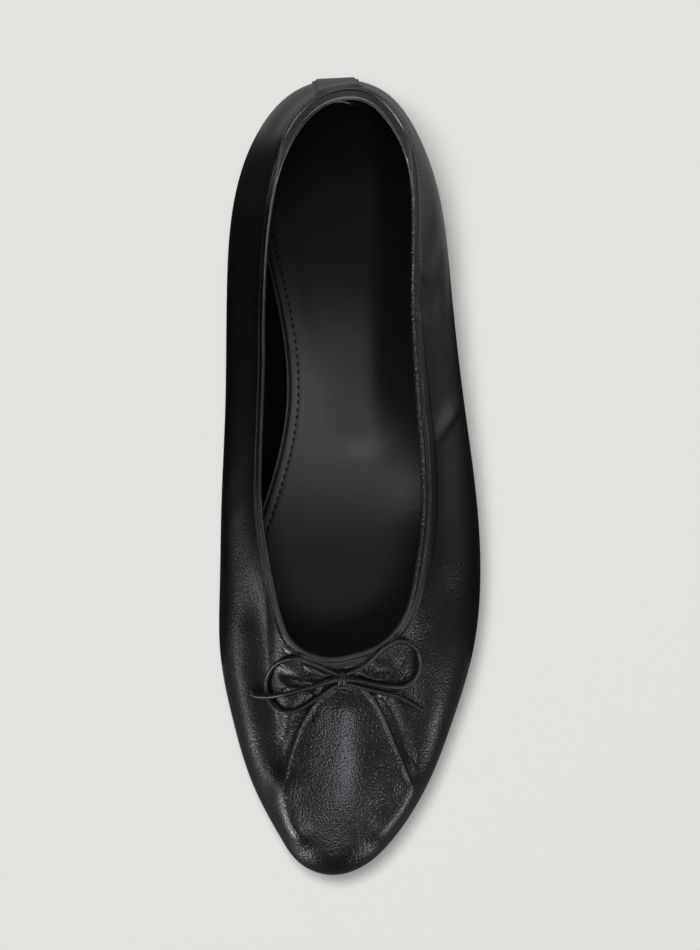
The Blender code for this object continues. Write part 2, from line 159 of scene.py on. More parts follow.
girthRows = np.column_stack([
    last["ballWidth"] * roundTheShoe(last["girth"], 2, 1),
    toY(roundTheShoe(last["girth"], 0, 0)),
    roundTheShoe(last["girth"], 4, 3),
    last["ballWidth"] * roundTheShoe(last["girth"], 6, 5),
])
toplineRows = np.column_stack([
    last["ballWidth"] * roundTheShoe(last["topline"], 3, 1),
    toY(roundTheShoe(last["topline"], 2, 0)),
    last["backHeight"] * roundTheShoe(last["topline"], 4, 4),
    np.radians(roundTheShoe(last["topline"], 6, 5)),
    mm * roundTheShoe(last["topline"], 8, 7),
])
ribChords = np.linalg.norm(np.roll(girthRows[:, :2], -1, axis=0) - girthRows[:, :2], axis=1)
ribKnots = np.concatenate([[0.0], np.cumsum(ribChords)])
girthCurve = ClosedCurve(ribKnots, girthRows)
toplineCurve = ClosedCurve(ribKnots, toplineRows)


# Sole edge, widest point, two pulls and topline point of the rib at each place
def ribsAt(places):
    girth = girthCurve.at(places)
    step = 0.02
    run = unit(girthCurve.at(places + step)[:, :2] - girthCurve.at(places - step)[:, :2])
    outward = np.column_stack([-run[:, 1], run[:, 0]])
    foot = np.column_stack([girth[:, :2] - outward * girth[:, 3:], np.zeros(len(girth))])
    foot[:, 2] = soleTop(foot[:, 1]) + last["gap"]
    line = toplineCurve.at(places)
    top = line[:, :3]
    widest = np.column_stack([girth[:, :2], foot[:, 2] + girth[:, 2] * (top[:, 2] - foot[:, 2])])
    inward = unit(top[:, :2] - widest[:, :2])
    aim = np.column_stack([inward * np.cos(line[:, 3:4]), np.sin(line[:, 3])])
    lowerPull = widest.copy()
    lowerPull[:, 2] += last["pullUp"] * (top[:, 2] - widest[:, 2])
    upperPull = top - aim * last["pullIn"] * np.linalg.norm(top - widest, axis=1)[:, None]
    return foot, widest, lowerPull, upperPull, top


# Smooth outside of the last. Climb is 0 at the sole's edge, 1 at the widest line and 2 at the topline.
def skin(places, climb):
    foot, widest, lowerPull, upperPull, top = ribsAt(places)
    angle = np.clip(climb, 0, 1)[:, None] * np.pi / 2
    reach = widest - foot
    turned = np.column_stack([np.sin(angle), np.sin(angle), 1 - np.cos(angle)])
    low = foot + reach * turned
    t = np.clip(climb - 1, 0, 1)[:, None]
    pulls = 3 * lowerPull * t * (1 - t) ** 2 + 3 * upperPull * t ** 2 * (1 - t)
    high = widest * (1 - t) ** 3 + pulls + top * t ** 3
    return np.where(t > 0, high, low)


def skinNormals(places, climb):
    step = 0.006
    around = skin(places + step, climb) - skin(places - step, climb)
    upward = skin(places, np.minimum(climb + step, 2)) - skin(places, np.maximum(climb - step, 0))
    return unit(np.cross(upward, around))


# Places counted both ways from the heel: above nought on the outer side, below it on the inner side
def bothWays(places):
    turned = np.mod(places, ribCount)
    return np.where(turned > ribCount / 2, turned - ribCount, turned)


# Climb at a distance below the topline, measured down the leather
def climbBelow(places, distance):
    upperPull, top = ribsAt(places)[3:]
    return 2 - distance / (3 * np.linalg.norm(top - upperPull, axis=1))


# A smooth mesh with its finish
def meshPiece(name, points, faces, finish):
    mesh = bpy.data.meshes.new(name)
    mesh.from_pydata(np.asarray(points).reshape(-1, 3).tolist(), [], [tuple(face) for face in faces])
    mesh.shade_smooth()
    mesh.materials.append(finish)
    piece = bpy.data.objects.new(name, mesh)
    bpy.context.scene.collection.objects.link(piece)
    return piece


def onRoot(piece, slot, *nodes):
    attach(piece, "root")
    if nodes:
        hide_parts(*nodes)
    return piece


# Quads of a grid listed column by column, facing out when columns run round the shoe and rows climb
def gridFaces(columns, rows, around, up, start=0, flip=False):
    i, k = np.meshgrid(np.arange(columns - (not around)), np.arange(rows - (not up)), indexing="ij")
    j, m = (i + 1) % columns, (k + 1) % rows
    corners = [i * rows + k, i * rows + m, j * rows + m, j * rows + k]
    faces = np.stack(corners[::-1] if flip else corners, axis=-1).reshape(-1, 4)
    return (faces + start).tolist()


# Closed shell between an outer and an inner grid that have the same columns
def shellPiece(name, outer, inner, finish, around=True):
    columns, outerRows = outer.shape[:2]
    innerRows = inner.shape[1]
    start = columns * outerRows
    faces = gridFaces(columns, outerRows, around, False)
    faces += gridFaces(columns, innerRows, around, False, start, True)
    for i in range(columns - (not around)):
        j = (i + 1) % columns
        outerEnd, innerEnd = outerRows - 1, innerRows - 1
        faces.append((i * outerRows + outerEnd, start + i * innerRows + innerEnd,
                      start + j * innerRows + innerEnd, j * outerRows + outerEnd))
        faces.append((j * outerRows, start + j * innerRows, start + i * innerRows, i * outerRows))
    if not around:
        for column, turned in ((0, False), (columns - 1, True)):
            for k in range(outerRows - 1):
                face = (column * outerRows + k, start + column * innerRows + k,
                        start + column * innerRows + k + 1, column * outerRows + k + 1)
                faces.append(face[::-1] if turned else face)
    return meshPiece(name, np.concatenate([outer.reshape(-1, 3), inner.reshape(-1, 3)]), faces, finish)


def planNormals(ring):
    run = np.roll(ring[:, :2], -1, axis=0) - np.roll(ring[:, :2], 1, axis=0)
    return unit(np.column_stack([-run[:, 1], run[:, 0]]))


def shifted(ring, outward, height):
    moved = ring.copy()
    moved[:, :2] += planNormals(ring) * np.asarray(outward).reshape(-1, 1)
    moved[:, 2] = height(moved)
    return moved


# Quads between closed rings listed from the underside up
def ringFaces(levels, count):
    faces = []
    for level in range(levels - 1):
        low, high = level * count, (level + 1) * count
        for i in range(count):
            j = (i + 1) % count
            faces.append((low + i, high + i, high + j, low + j))
    return faces


# Closed plate through rings listed from the underside to the top, its two faces filled by rungs
def platePiece(name, rings, rungSteps, underside, upside, finish):
    count = len(rings[0])
    points = list(rings)
    faces = ringFaces(len(rings), count)
    total = len(rings) * count
    share = np.linspace(0, 1, rungSteps + 1)[1:-1, None]
    for level, height, flip in ((0, underside, True), (len(rings) - 1, upside, False)):
        heelEnd, toeEnd = level * count, level * count + count // 2
        rungs = []
        for i in range(1, count // 2):
            near, far = rings[level][i], rings[level][count - i]
            middle = near * (1 - share) + far * share
            middle[:, 2] = height(middle)
            points.append(middle)
            rungs.append([heelEnd + i, *range(total, total + rungSteps - 1), heelEnd + count - i])
            total += rungSteps - 1
        filled = []
        for rung, after in zip(rungs, rungs[1:]):
            filled += [(rung[k], rung[k + 1], after[k + 1], after[k]) for k in range(rungSteps)]
        filled += [(heelEnd, rungs[0][k + 1], rungs[0][k]) for k in range(rungSteps)]
        filled += [(toeEnd, rungs[-1][k], rungs[-1][k + 1]) for k in range(rungSteps)]
        faces += [face[::-1] for face in filled] if flip else filled
    return meshPiece(name, np.concatenate(points), faces, finish)


# Points a short step apart on a smooth curve through a path
def smoothPath(path, step):
    stops = 40
    path = np.asarray(path, float)
    before = np.vstack([2 * path[0] - path[1], path[:-1]])
    after = np.vstack([path[1:], 2 * path[-1] - path[-2]])
    slope = (after - before) / 2
    t = np.linspace(0, 1, stops, endpoint=False)[:, None]
    fine = [
        path[i] * (2 * t ** 3 - 3 * t ** 2 + 1) + slope[i] * (t ** 3 - 2 * t ** 2 + t)
        + path[i + 1] * (3 * t ** 2 - 2 * t ** 3) + slope[i + 1] * (t ** 3 - t ** 2)
        for i in range(len(path) - 1)
    ]
    return evenly(np.vstack([*fine, path[-1:]]), step)


def travelled(line):
    return np.concatenate([[0.0], np.cumsum(np.linalg.norm(np.diff(line, axis=0), axis=1))])


def evenly(line, step):
    reach = travelled(line)
    wanted = np.linspace(0, reach[-1], max(2, int(round(reach[-1] / step)) + 1))
    return np.column_stack([np.interp(wanted, reach, line[:, k]) for k in range(line.shape[1])])


# Round tube along a line, with rings that don't twist
def tubeParts(line, radius, sides):
    run = unit(np.gradient(line, axis=0))
    side = np.cross(run[0], [0.0, 0.0, 1.0])
    if np.linalg.norm(side) < 1e-6:
        side = np.array([1.0, 0.0, 0.0])
    radius = np.broadcast_to(radius, len(line))
    rings = []
    for i, direction in enumerate(run):
        side = unit(side - direction * side.dot(direction))
        up = np.cross(side, direction)
        turn = np.arange(sides)[:, None] * 2 * np.pi / sides
        rings.append(line[i] + radius[i] * (np.cos(turn) * side + np.sin(turn) * up))
    points = np.array(rings)
    faces = [tuple(face[::-1]) for face in gridFaces(len(line), sides, False, True)]
    faces.append(tuple(range(sides))[::-1])
    faces.append(tuple((len(line) - 1) * sides + k for k in range(sides)))
    return points.reshape(-1, 3), faces


def joinParts(parts):
    points, faces, start = [], [], 0
    for partPoints, partFaces in parts:
        points.append(partPoints)
        faces += [tuple(index + start for index in face) for face in partFaces]
        start += len(partPoints)
    return np.vstack(points), faces


# A row of sewn stitches: short threads that dip into the leather at both ends
stitchForm = {"stops": 7, "sides": 6, "tipShare": 0.55}


def stitchRow(line, normals, sewing):
    reach = travelled(line)
    stops = np.linspace(0, 1, stitchForm["stops"])
    arch = np.sin(np.pi * stops)
    lift = sewing["dip"] * (arch - 1) + sewing["stand"]
    thick = sewing["thread"] / 2 * (stitchForm["tipShare"] + (1 - stitchForm["tipShare"]) * arch)
    parts = []
    for start in np.arange(0, reach[-1] - sewing["length"], sewing["pitch"]):
        wanted = start + stops * sewing["length"]
        spine = np.column_stack([np.interp(wanted, reach, line[:, k]) for k in range(3)])
        outward = np.column_stack([np.interp(wanted, reach, normals[:, k]) for k in range(3)])
        parts.append(tubeParts(spine + outward * lift[:, None], thick, stitchForm["sides"]))
    return joinParts(parts)


# Shader maths as plain expressions on sockets
class Socket:
    def __init__(self, finish, socket):
        self.finish, self.socket = finish, socket

    def maths(self, operation, other, swapped=False):
        pair = (other, self) if swapped else (self, other)
        return self.finish.node("Math", {"operation": operation}, {0: pair[0], 1: pair[1]})

    def __add__(self, other):
        return self.maths("ADD", other)

    def __radd__(self, other):
        return self.maths("ADD", other, True)

    def __sub__(self, other):
        return self.maths("SUBTRACT", other)

    def __rsub__(self, other):
        return self.maths("SUBTRACT", other, True)

    def __mul__(self, other):
        return self.maths("MULTIPLY", other)

    def __rmul__(self, other):
        return self.maths("MULTIPLY", other, True)

    def __truediv__(self, other):
        return self.maths("DIVIDE", other)

    def __pow__(self, other):
        return self.maths("POWER", other)


class Finish:
    def __init__(self, name):
        self.material = bpy.data.materials.new(name)
        self.material.use_nodes = True
        self.tree = self.material.node_tree
        self.shader = self.tree.nodes["Principled BSDF"]

    def node(self, kind, settings=None, sockets=None, output=0):
        made = self.tree.nodes.new("ShaderNode" + kind)
        for key, value in (settings or {}).items():
            setattr(made, key, value)
        for key, value in (sockets or {}).items():
            self.feed(made.inputs[key], value)
        return Socket(self, made.outputs[output])

    def feed(self, target, value):
        if isinstance(value, Socket):
            self.tree.links.new(value.socket, target)
        else:
            target.default_value = value

    def shade(self, sockets):
        for key, value in sockets.items():
            self.feed(self.shader.inputs[key], value)

    def where(self):
        return self.node("TexCoord", output="Object")

    def cloud(self, place, scale, detail=2.0, roughness=0.5):
        sockets = {"Vector": place, "Scale": scale, "Detail": detail, "Roughness": roughness}
        return self.node("TexNoise", {}, sockets)

    def soft(self, value, start, end, low=0.0, high=1.0):
        sockets = {0: value, 1: start, 2: end, 3: low, 4: high}
        return self.node("MapRange", {"interpolation_type": "SMOOTHSTEP"}, sockets)

    def blend(self, share, first, second):
        return self.node("Mix", {"data_type": "RGBA"}, {0: share, 6: (*first, 1.0), 7: (*second, 1.0)}, 2)

    def bump(self, height, depth):
        return self.node("Bump", {}, {"Strength": 1.0, "Distance": depth, "Height": height})


# Grained leather: small domes parted by fine creases, and slow changes of depth and gloss. Sway and
# pores are counted in cells.
grainForm = {"swayCells": 0.5, "sway": 0.15, "crown": 1.8, "poreCells": 2.0}


def leatherFinish(name, look):
    finish = Finish(name)
    place = finish.where()
    cells = look["cells"]
    sockets = {"Vector": place, "Scale": cells * grainForm["swayCells"], "Detail": 1.0}
    sway = finish.node("TexNoise", {}, sockets, "Color")
    sway = finish.node("VectorMath", {"operation": "SUBTRACT"}, {0: sway, 1: (0.5, 0.5, 0.5)})
    sway = finish.node("VectorMath", {"operation": "SCALE"}, {0: sway, "Scale": grainForm["sway"] / cells})
    bentPlace = finish.node("VectorMath", {"operation": "ADD"}, {0: place, 1: sway})
    reach = finish.node("TexVoronoi", {"feature": "F1"}, {"Vector": bentPlace, "Scale": cells})
    domes = 1 - grainForm["crown"] * reach * reach
    pores = finish.cloud(place, cells * grainForm["poreCells"], 1.5, 0.5)
    slow = finish.cloud(place, look["patches"], 3.0, 0.55)
    along = finish.node("SeparateXYZ", {}, {0: place}, "Y")
    grained = finish.soft(along, *look["grained"])
    deep = grained
    if "sides" in look:
        start, end, share = look["sides"]
        across = finish.node("SeparateXYZ", {}, {0: place}, "X")
        deep = grained * finish.soft(across * across, start ** 2, end ** 2, 1.0, share)
    rough = look["rough"] - look["polish"] * grained + look["roughSpread"] * (slow - 0.5)
    height = (domes * (0.5 + slow) + look["pores"] * pores) * deep
    finish.shade({
        "Base Color": finish.blend(0.5 * domes + 0.5 * slow, look["dark"], look["light"]),
        "Roughness": rough,
        "Normal": finish.bump(height, look["depth"]),
        "Coat Weight": look["coat"],
        "Coat Roughness": look["coatRough"],
        "Specular IOR Level": look["shine"],
    })
    return finish.material


# Grained: the places along the shoe, heel side first, between which the grain changes, and its two
# strengths. Sides: the distances from the middle over which it goes on changing, and to what share.
finishes = {
    "upper": leatherFinish("upper_leather_grained", {
        "cells": 1500.0, "pores": 0.12, "patches": 60.0, "depth": 0.000053,
        "grained": (0.015, -0.035, 0.10, 1.0),
        "sides": (0.012, 0.030, 0.55),
        "dark": (0.0030, 0.0030, 0.0034), "light": (0.0060, 0.0060, 0.0067),
        "rough": 0.46, "polish": 0.165, "roughSpread": 0.08, "coat": 0.12, "coatRough": 0.5, "shine": 0.46,
    }),
    "binding": leatherFinish("binding_leather_smooth", {
        "cells": 1900.0, "pores": 0.20, "patches": 120.0, "depth": 0.000008,
        "grained": (-0.025, -0.052, 1.0, 0.0),
        "sides": (0.009, 0.018, 2.6),
        "dark": (0.0040, 0.0040, 0.0044), "light": (0.0075, 0.0075, 0.0082),
        "rough": 0.58, "polish": 0.27, "roughSpread": 0.10, "coat": 0.10, "coatRough": 0.5, "shine": 0.75,
    }),
    "strip": leatherFinish("strip_leather_grained", {
        "cells": 1500.0, "pores": 0.20, "patches": 70.0, "depth": 0.00003,
        "grained": (0.2, -0.2, 1.0, 1.0),
        "dark": (0.0045, 0.0045, 0.0049), "light": (0.0085, 0.0085, 0.0092),
        "rough": 0.45, "polish": 0.0, "roughSpread": 0.12, "coat": 0.0, "coatRough": 0.3, "shine": 0.42,
    }),
    "insole": leatherFinish("insole_leather_fine", {
        "cells": 2300.0, "pores": 0.30, "patches": 40.0, "depth": 0.000012,
        "grained": (0.115, 0.02, 0.1, 1.0),
        "dark": (0.0014, 0.0014, 0.0015), "light": (0.0026, 0.0026, 0.0028),
        "rough": 0.26, "polish": -0.125, "roughSpread": 0.05, "coat": 0.0, "coatRough": 0.35, "shine": 0.44,
    }),
    "lining": leatherFinish("lining_leather_dull", {
        "cells": 2000.0, "pores": 0.40, "patches": 50.0, "depth": 0.00002,
        "grained": (0.2, -0.2, 1.0, 1.0),
        "dark": (0.0150, 0.0150, 0.0157), "light": (0.0240, 0.0240, 0.0252),
        "rough": 0.80, "polish": 0.0, "roughSpread": 0.10, "coat": 0.0, "coatRough": 0.4, "shine": 0.08,
    }),
}


# Waxed round cord: fine fibres that wind round it, and a dull sheen
def cordFinish(look):
    finish = Finish("bow_cord_waxed")
    place = finish.where()
    settings = {"wave_type": "BANDS", "bands_direction": "DIAGONAL"}
    sockets = {"Vector": place, "Scale": look["fibres"], "Distortion": 3.0}
    sockets.update({"Detail": 2.0, "Detail Scale": 2.0})
    fibres = finish.node("TexWave", settings, sockets, "Fac")
    fuzz = finish.cloud(place, look["fuzz"], 3.0, 0.6)
    finish.shade({
        "Base Color": finish.blend(fuzz, look["dark"], look["light"]),
        "Roughness": look["rough"] + look["roughSpread"] * (fuzz - 0.5),
        "Normal": finish.bump(0.5 * fibres + 0.5 * fuzz, look["depth"]),
    })
    return finish.material


# Moulded rubber: fine pebbles and a worn, dusty cast where it meets the floor
def rubberFinish(name, look):
    finish = Finish(name)
    place = finish.where()
    sockets = {"Vector": place, "Scale": look["pebbles"]}
    pebbles = finish.node("TexVoronoi", {"feature": "SMOOTH_F1"}, sockets)
    slow = finish.cloud(place, look["patches"], 4.0, 0.6)
    height = finish.node("SeparateXYZ", {}, {0: place}, "Z")
    worn = finish.soft(height, look["wornHeight"], 0.0) * finish.soft(slow, *look["wornPatches"])
    finish.shade({
        "Base Color": finish.blend(worn, look["dark"], look["dusty"]),
        "Roughness": look["rough"] + look["roughSpread"] * (slow - 0.5),
        "Normal": finish.bump(pebbles, look["depth"]),
    })
    return finish.material


def threadFinish(look):
    finish = Finish("sewing_thread")
    place = finish.where()
    ply = finish.cloud(place, look["plies"], 1.0)
    finish.shade({
        "Base Color": finish.blend(ply, look["dark"], look["light"]),
        "Roughness": look["rough"] + look["roughSpread"] * ply,
        "Normal": finish.bump(ply, look["depth"]),
        "Specular IOR Level": look["shine"],
    })
    return finish.material


finishes["cord"] = cordFinish({
    "fibres": 520.0, "fuzz": 2600.0, "depth": 0.00003, "rough": 0.42, "roughSpread": 0.14,
    "dark": (0.0050, 0.0050, 0.0053), "light": (0.0110, 0.0110, 0.0115),
})
rubberLook = {"patches": 45.0, "roughSpread": 0.16, "wornHeight": 0.0006, "wornPatches": (0.42, 0.62)}
finishes["sole"] = rubberFinish("outsole_rubber_moulded", {
    **rubberLook, "pebbles": 900.0, "depth": 0.00006, "rough": 0.58,
    "dark": (0.0080, 0.0080, 0.0084), "dusty": (0.030, 0.029, 0.028),
})
finishes["heel"] = rubberFinish("heel_rubber_moulded", {
    **rubberLook, "pebbles": 1100.0, "depth": 0.00005, "rough": 0.55,
    "dark": (0.0075, 0.0075, 0.0079), "dusty": (0.028, 0.027, 0.026),
})
finishes["thread"] = threadFinish({
    "plies": 6000.0, "depth": 0.00003, "rough": 0.65, "roughSpread": 0.2, "shine": 0.12,
    "dark": (0.0012, 0.0012, 0.0013), "light": (0.0035, 0.0035, 0.0038),
})
print("finishes made:", len(finishes))


# Camera high over the shoe, a little to its inner side, with a long lens
view = {
    "distance": 9.0, "sideways": -0.079, "aim": (0.0, 0.0, 0.014), "sensor": 36.0,
    "pixelsPerMetre": 3201.0, "imageHeight": 950.0,
}


def makeCamera():
    camera = bpy.data.cameras.new("camera")
    camera.sensor_width = view["sensor"]
    camera.lens = view["sensor"] * view["distance"] * view["pixelsPerMetre"] / view["imageHeight"]
    eye = bpy.data.objects.new("camera", camera)
    aim = Vector(view["aim"])
    eye.location = aim + Vector((view["sideways"], 0.0, view["distance"]))
    back = (eye.location - aim).normalized()
    right = Vector((0.0, 1.0, 0.0)).cross(back).normalized()
    eye.rotation_euler = Matrix((right, back.cross(right), back)).transposed().to_euler()
    bpy.context.scene.collection.objects.link(eye)
    bpy.context.scene.camera = eye


makeCamera()
print("camera placed")


def surfaceTree(points, faces):
    return BVHTree.FromPolygons([Vector(point) for point in points.reshape(-1, 3)], faces)


# Leather surface of the last before any fold, to lay paths on
plainForm = {"columnsPerRib": 8, "rows": 90, "low": 0.6, "above": 0.2, "nearHeight": 0.022}  # climb, metres


def plainLeather():
    columns = np.arange(0, ribCount, 1 / plainForm["columnsPerRib"])
    rows = np.linspace(plainForm["low"], 2.0, plainForm["rows"])
    places, climb = np.meshgrid(columns, rows, indexing="ij")
    points = skin(places.ravel(), climb.ravel())
    return surfaceTree(points, gridFaces(*places.shape, True, False))


def pointBelow(tree, x, y):
    return tree.ray_cast(Vector((x, y, plainForm["above"])), Vector((0, 0, -1)))[0]


# The leather straight below a point, or the nearest leather where the path leaves the outline
def leatherUnder(tree, x, y):
    hit = pointBelow(tree, x, y)
    return hit or tree.find_nearest(Vector((x, y, plainForm["nearHeight"])))[0]


smoothLast = plainLeather()

# Folds of the upper, in millimetres: across from the middle, along from the heel. High is the
# fold's rise and wide how far it takes to die away; fade is the length over which its ends die.
folds = {
    "inner tuck": {
        "high": 0.42, "wide": (0.5, 0.8), "fade": (1.0, 9.0),
        "path": ((-6.1, 190.2), (-11.3, 196.3), (-15.5, 203.4), (-18.3, 211.3), (-20.4, 220.4),
                 (-20.9, 225.0)),
    },
    "outer tuck": {
        "high": 0.42, "wide": (0.8, 0.5), "fade": (1.0, 9.0),
        "path": ((1.3, 188.9), (5.6, 192.7), (10.0, 199.7), (13.6, 208.2), (16.7, 215.6),
                 (18.4, 220.4), (18.9, 225.0)),
    },
    "inner hollow": {
        "high": -1.4, "wide": (6.5, 3.4), "fade": (25.0, 16.0),
        "path": ((-27.6, 148.0), (-27.4, 164.0), (-27.2, 180.0), (-26.2, 191.0), (-24.0, 202.0),
                 (-24.0, 213.0), (-25.0, 222.0)),
    },
    "outer hollow": {
        "high": -1.1, "wide": (2.8, 6.0), "fade": (8.0, 16.0),
        "path": ((14.5, 184.5), (17.0, 192.0), (19.2, 201.0), (20.8, 211.0), (22.0, 220.0)),
    },
    "inner tuck shade": {
        "high": -0.9, "wide": 1.9, "fade": (3.0, 10.0),
        "path": ((-9.6, 191.6), (-14.6, 197.2), (-18.4, 204.2), (-21.0, 212.0), (-23.0, 221.0)),
    },
    "outer tuck shade": {
        "high": -0.9, "wide": 1.9, "fade": (3.0, 10.0),
        "path": ((8.4, 192.2), (13.0, 198.8), (16.4, 207.2), (19.6, 215.2), (21.2, 221.0)),
    },
    "vamp dome": {
        "high": 1.6, "wide": 10.0, "fade": (9.0, 20.0),
        "path": ((-1.5, 190.0), (-1.2, 205.0), (-1.5, 220.0), (-2.5, 242.0)),
    },
    "inner shoulder": {
        "high": 1.3, "wide": 4.5, "fade": (10.0, 8.0),
        "path": ((-19.4, 215.0), (-20.6, 222.0), (-20.2, 229.0), (-17.4, 236.0), (-12.0, 242.0)),
    },
    "outer shoulder": {
        "high": 1.3, "wide": 4.5, "fade": (10.0, 8.0),
        "path": ((16.6, 215.0), (18.6, 222.0), (16.4, 228.5), (11.6, 235.0), (5.6, 241.0)),
    },
    "gathered roll": {
        "high": 0.8, "wide": 0.9, "fade": (3.0, 3.0),
        "path": ((-15.4, 183.6), (-13.0, 184.8), (-9.5, 186.8), (-6.0, 188.4)),
    },
    "throat roll": {
        "high": 0.7, "wide": 1.1, "fade": (3.0, 3.0),
        "path": ((-8.6, 184.2), (-4.5, 184.8), (-0.4, 184.5), (3.5, 182.8), (6.5, 180.8)),
    },
    "gather valley": {
        "high": -0.6, "wide": 1.4, "fade": (4.0, 3.0),
        "path": ((-24.0, 186.6), (-19.5, 187.6), (-15.0, 188.6), (-9.5, 189.6)),
    },
    "gather ridge": {
        "high": 0.5, "wide": 1.2, "fade": (4.0, 3.0),
        "path": ((-23.0, 190.4), (-18.5, 190.8), (-14.3, 191.0), (-9.0, 190.8)),
    },
    "outer gather": {
        "high": 0.5, "wide": 1.0, "fade": (2.0, 3.0),
        "path": ((2.6, 186.3), (5.5, 187.8), (9.0, 188.6), (13.0, 188.2)),
    },
    "outer gather valley": {
        "high": -0.7, "wide": 2.6, "fade": (3.0, 4.0),
        "path": ((5.0, 184.8), (9.5, 185.4), (14.5, 185.6), (19.5, 184.0)),
    },
    "throat pinch": {
        "high": 0.7, "wide": 0.8, "fade": (1.4, 1.4),
        "path": ((-20.2, 177.8), (-18.8, 179.2), (-17.2, 180.6)),
    },
    "quarter crease": {
        "high": 0.85, "wide": (3.5, 1.2), "fade": (2.0, 14.0), "above": (1.08, 1.5),
        "path": ((36.4, 98.5), (35.2, 102.3), (31.6, 107.6), (28.6, 111.8), (26.4, 115.6), (25.0, 120.0)),
    },
    "counter end": {
        "high": 0.5, "wide": 4.5, "fade": (5.0, 5.0), "above": (1.1, 1.6),
        "path": ((21.5, 66.0), (24.0, 58.0), (26.5, 50.0), (28.5, 43.0)),
    },
    "counter end hollow": {
        "high": -0.8, "wide": 5.5, "fade": (6.0, 6.0), "above": (1.1, 1.6),
        "path": ((22.0, 78.0), (25.0, 70.0), (28.0, 62.0), (30.0, 56.0)),
    },
}
leatherForm = {
    "collarRoll": 1.3, "collarRollBelow": 6.5, "collarRollWide": 7.0, "collarRollTop": 4.0,  # mm
    "collarRollEnds": (1.2, 3.4),  # places from the heel
    "ripple": 0.10, "rippleSize": 9.0,  # mm, slow unevenness of soft leather
    "rippleClimb": (0.9, 1.4), "foldClimb": (1.02, 1.3),  # climb over which these come in
    "foldStep": 0.4, "foldLongestStep": 0.5, "foldReach": 2.6,  # in widths, in mm, in widths
}


def foldLift(points, climb, fold):
    wide = np.broadcast_to(fold["wide"], 2) * mm  # right of the path, left of it
    step = min(leatherForm["foldStep"] * wide.min() / mm, leatherForm["foldLongestStep"])
    plan = smoothPath(fold["path"], step) * mm
    x, y = plan[:, 0], last["length"] / 2 - plan[:, 1]
    line = np.array([leatherUnder(smoothLast, a, b) for a, b in zip(x, y)])
    run = unit(np.gradient(line, axis=0))
    tree = KDTree(len(line))
    for i, point in enumerate(line):
        tree.insert(point, i)
    tree.balance()
    reach = travelled(line)
    start, end = (length * mm for length in fold["fade"])
    strength = smoothStep(reach, 0, start) * smoothStep(reach[-1] - reach, 0, end)
    margin = leatherForm["foldReach"] * wide.max()
    inside = np.all((points > line.min(0) - margin) & (points < line.max(0) + margin), axis=1)
    lift = np.zeros(len(points))
    for i in np.nonzero(inside)[0]:
        _, index, distance = tree.find(points[i])
        offset = points[i] - line[index]
        leftOf = run[index, 0] * offset[1] - run[index, 1] * offset[0] > 0
        lift[i] = fold["high"] * mm * strength[index] * math.exp(-(distance / wide[int(leftOf)]) ** 2)
    return lift * smoothStep(climb, *fold.get("above", leatherForm["foldClimb"]))


# How far the leather stands off the smooth last
def leatherLift(points, places, climb):
    lift = np.zeros(len(points))
    for fold in folds.values():
        lift += foldLift(points, climb, fold)
    top = ribsAt(places)[4]
    below = np.linalg.norm(points - top, axis=1) / mm
    aroundHeel = 1 - smoothStep(np.abs(bothWays(places)), *leatherForm["collarRollEnds"])
    roll = np.exp(-((below - leatherForm["collarRollBelow"]) / leatherForm["collarRollWide"]) ** 2)
    roll = roll * smoothStep(below, 0, leatherForm["collarRollTop"]) * (climb > 1)
    lift += leatherForm["collarRoll"] * mm * aroundHeel * roll
    size = leatherForm["rippleSize"] * mm
    ripple = np.array([noise.noise(Vector(p) / size) for p in points])
    return lift + leatherForm["ripple"] * mm * ripple * smoothStep(climb, *leatherForm["rippleClimb"])


def leatherAt(places, climb, outward=0.0):
    points = skin(places, climb)
    normals = skinNormals(places, climb)
    lift = leatherLift(points, places, climb) + outward
    return points + normals * lift[:, None]


def leatherGrid(places, climb, outward=0.0):
    return leatherAt(places.ravel(), climb.ravel(), outward).reshape(*places.shape, 3)


# Upper: columns crowd on the vamp and follow the two tucks
upperForm = {
    "sideStep": 0.80, "vampStep": 0.46, "tuckStep": 0.17, "hide": 0.8, "thickness": 0.9,  # mm
    # places round the shoe
    "vampStart": (8, 9.5), "vampEnd": (16.5, 18), "tuckWide": 0.13, "tuckPull": (0.3, 1.2), "fine": 0.004,
    "turnRows": 10, "wallRows": 92, "insideRows": 14, "crowding": 0.25, "tuckHome": 0.6,
    "tuckLow": 1.02, "tuckRows": 200, "tuckColumn": 0.02, "tuckStops": 1.5,  # to find the tucks on the last
}


def tuckPlaces(path, climbs):
    columns = np.arange(upperForm["vampStart"][0], upperForm["vampEnd"][1], upperForm["tuckColumn"])
    rows = np.linspace(upperForm["tuckLow"], 2, upperForm["tuckRows"])
    places, climb = np.meshgrid(columns, rows, indexing="ij")
    grid = skin(places.ravel(), climb.ravel())[:, :2]
    plan = smoothPath(path, upperForm["tuckStops"]) * mm
    plan = np.column_stack([plan[:, 0], last["length"] / 2 - plan[:, 1]])
    nearest = [np.argmin(((grid - point) ** 2).sum(1)) for point in plan]
    found = climb.ravel()[nearest]
    fit = np.polyfit(found, places.ravel()[nearest], 2)
    return np.polyval(fit, np.clip(climbs, found.min(), found.max()))


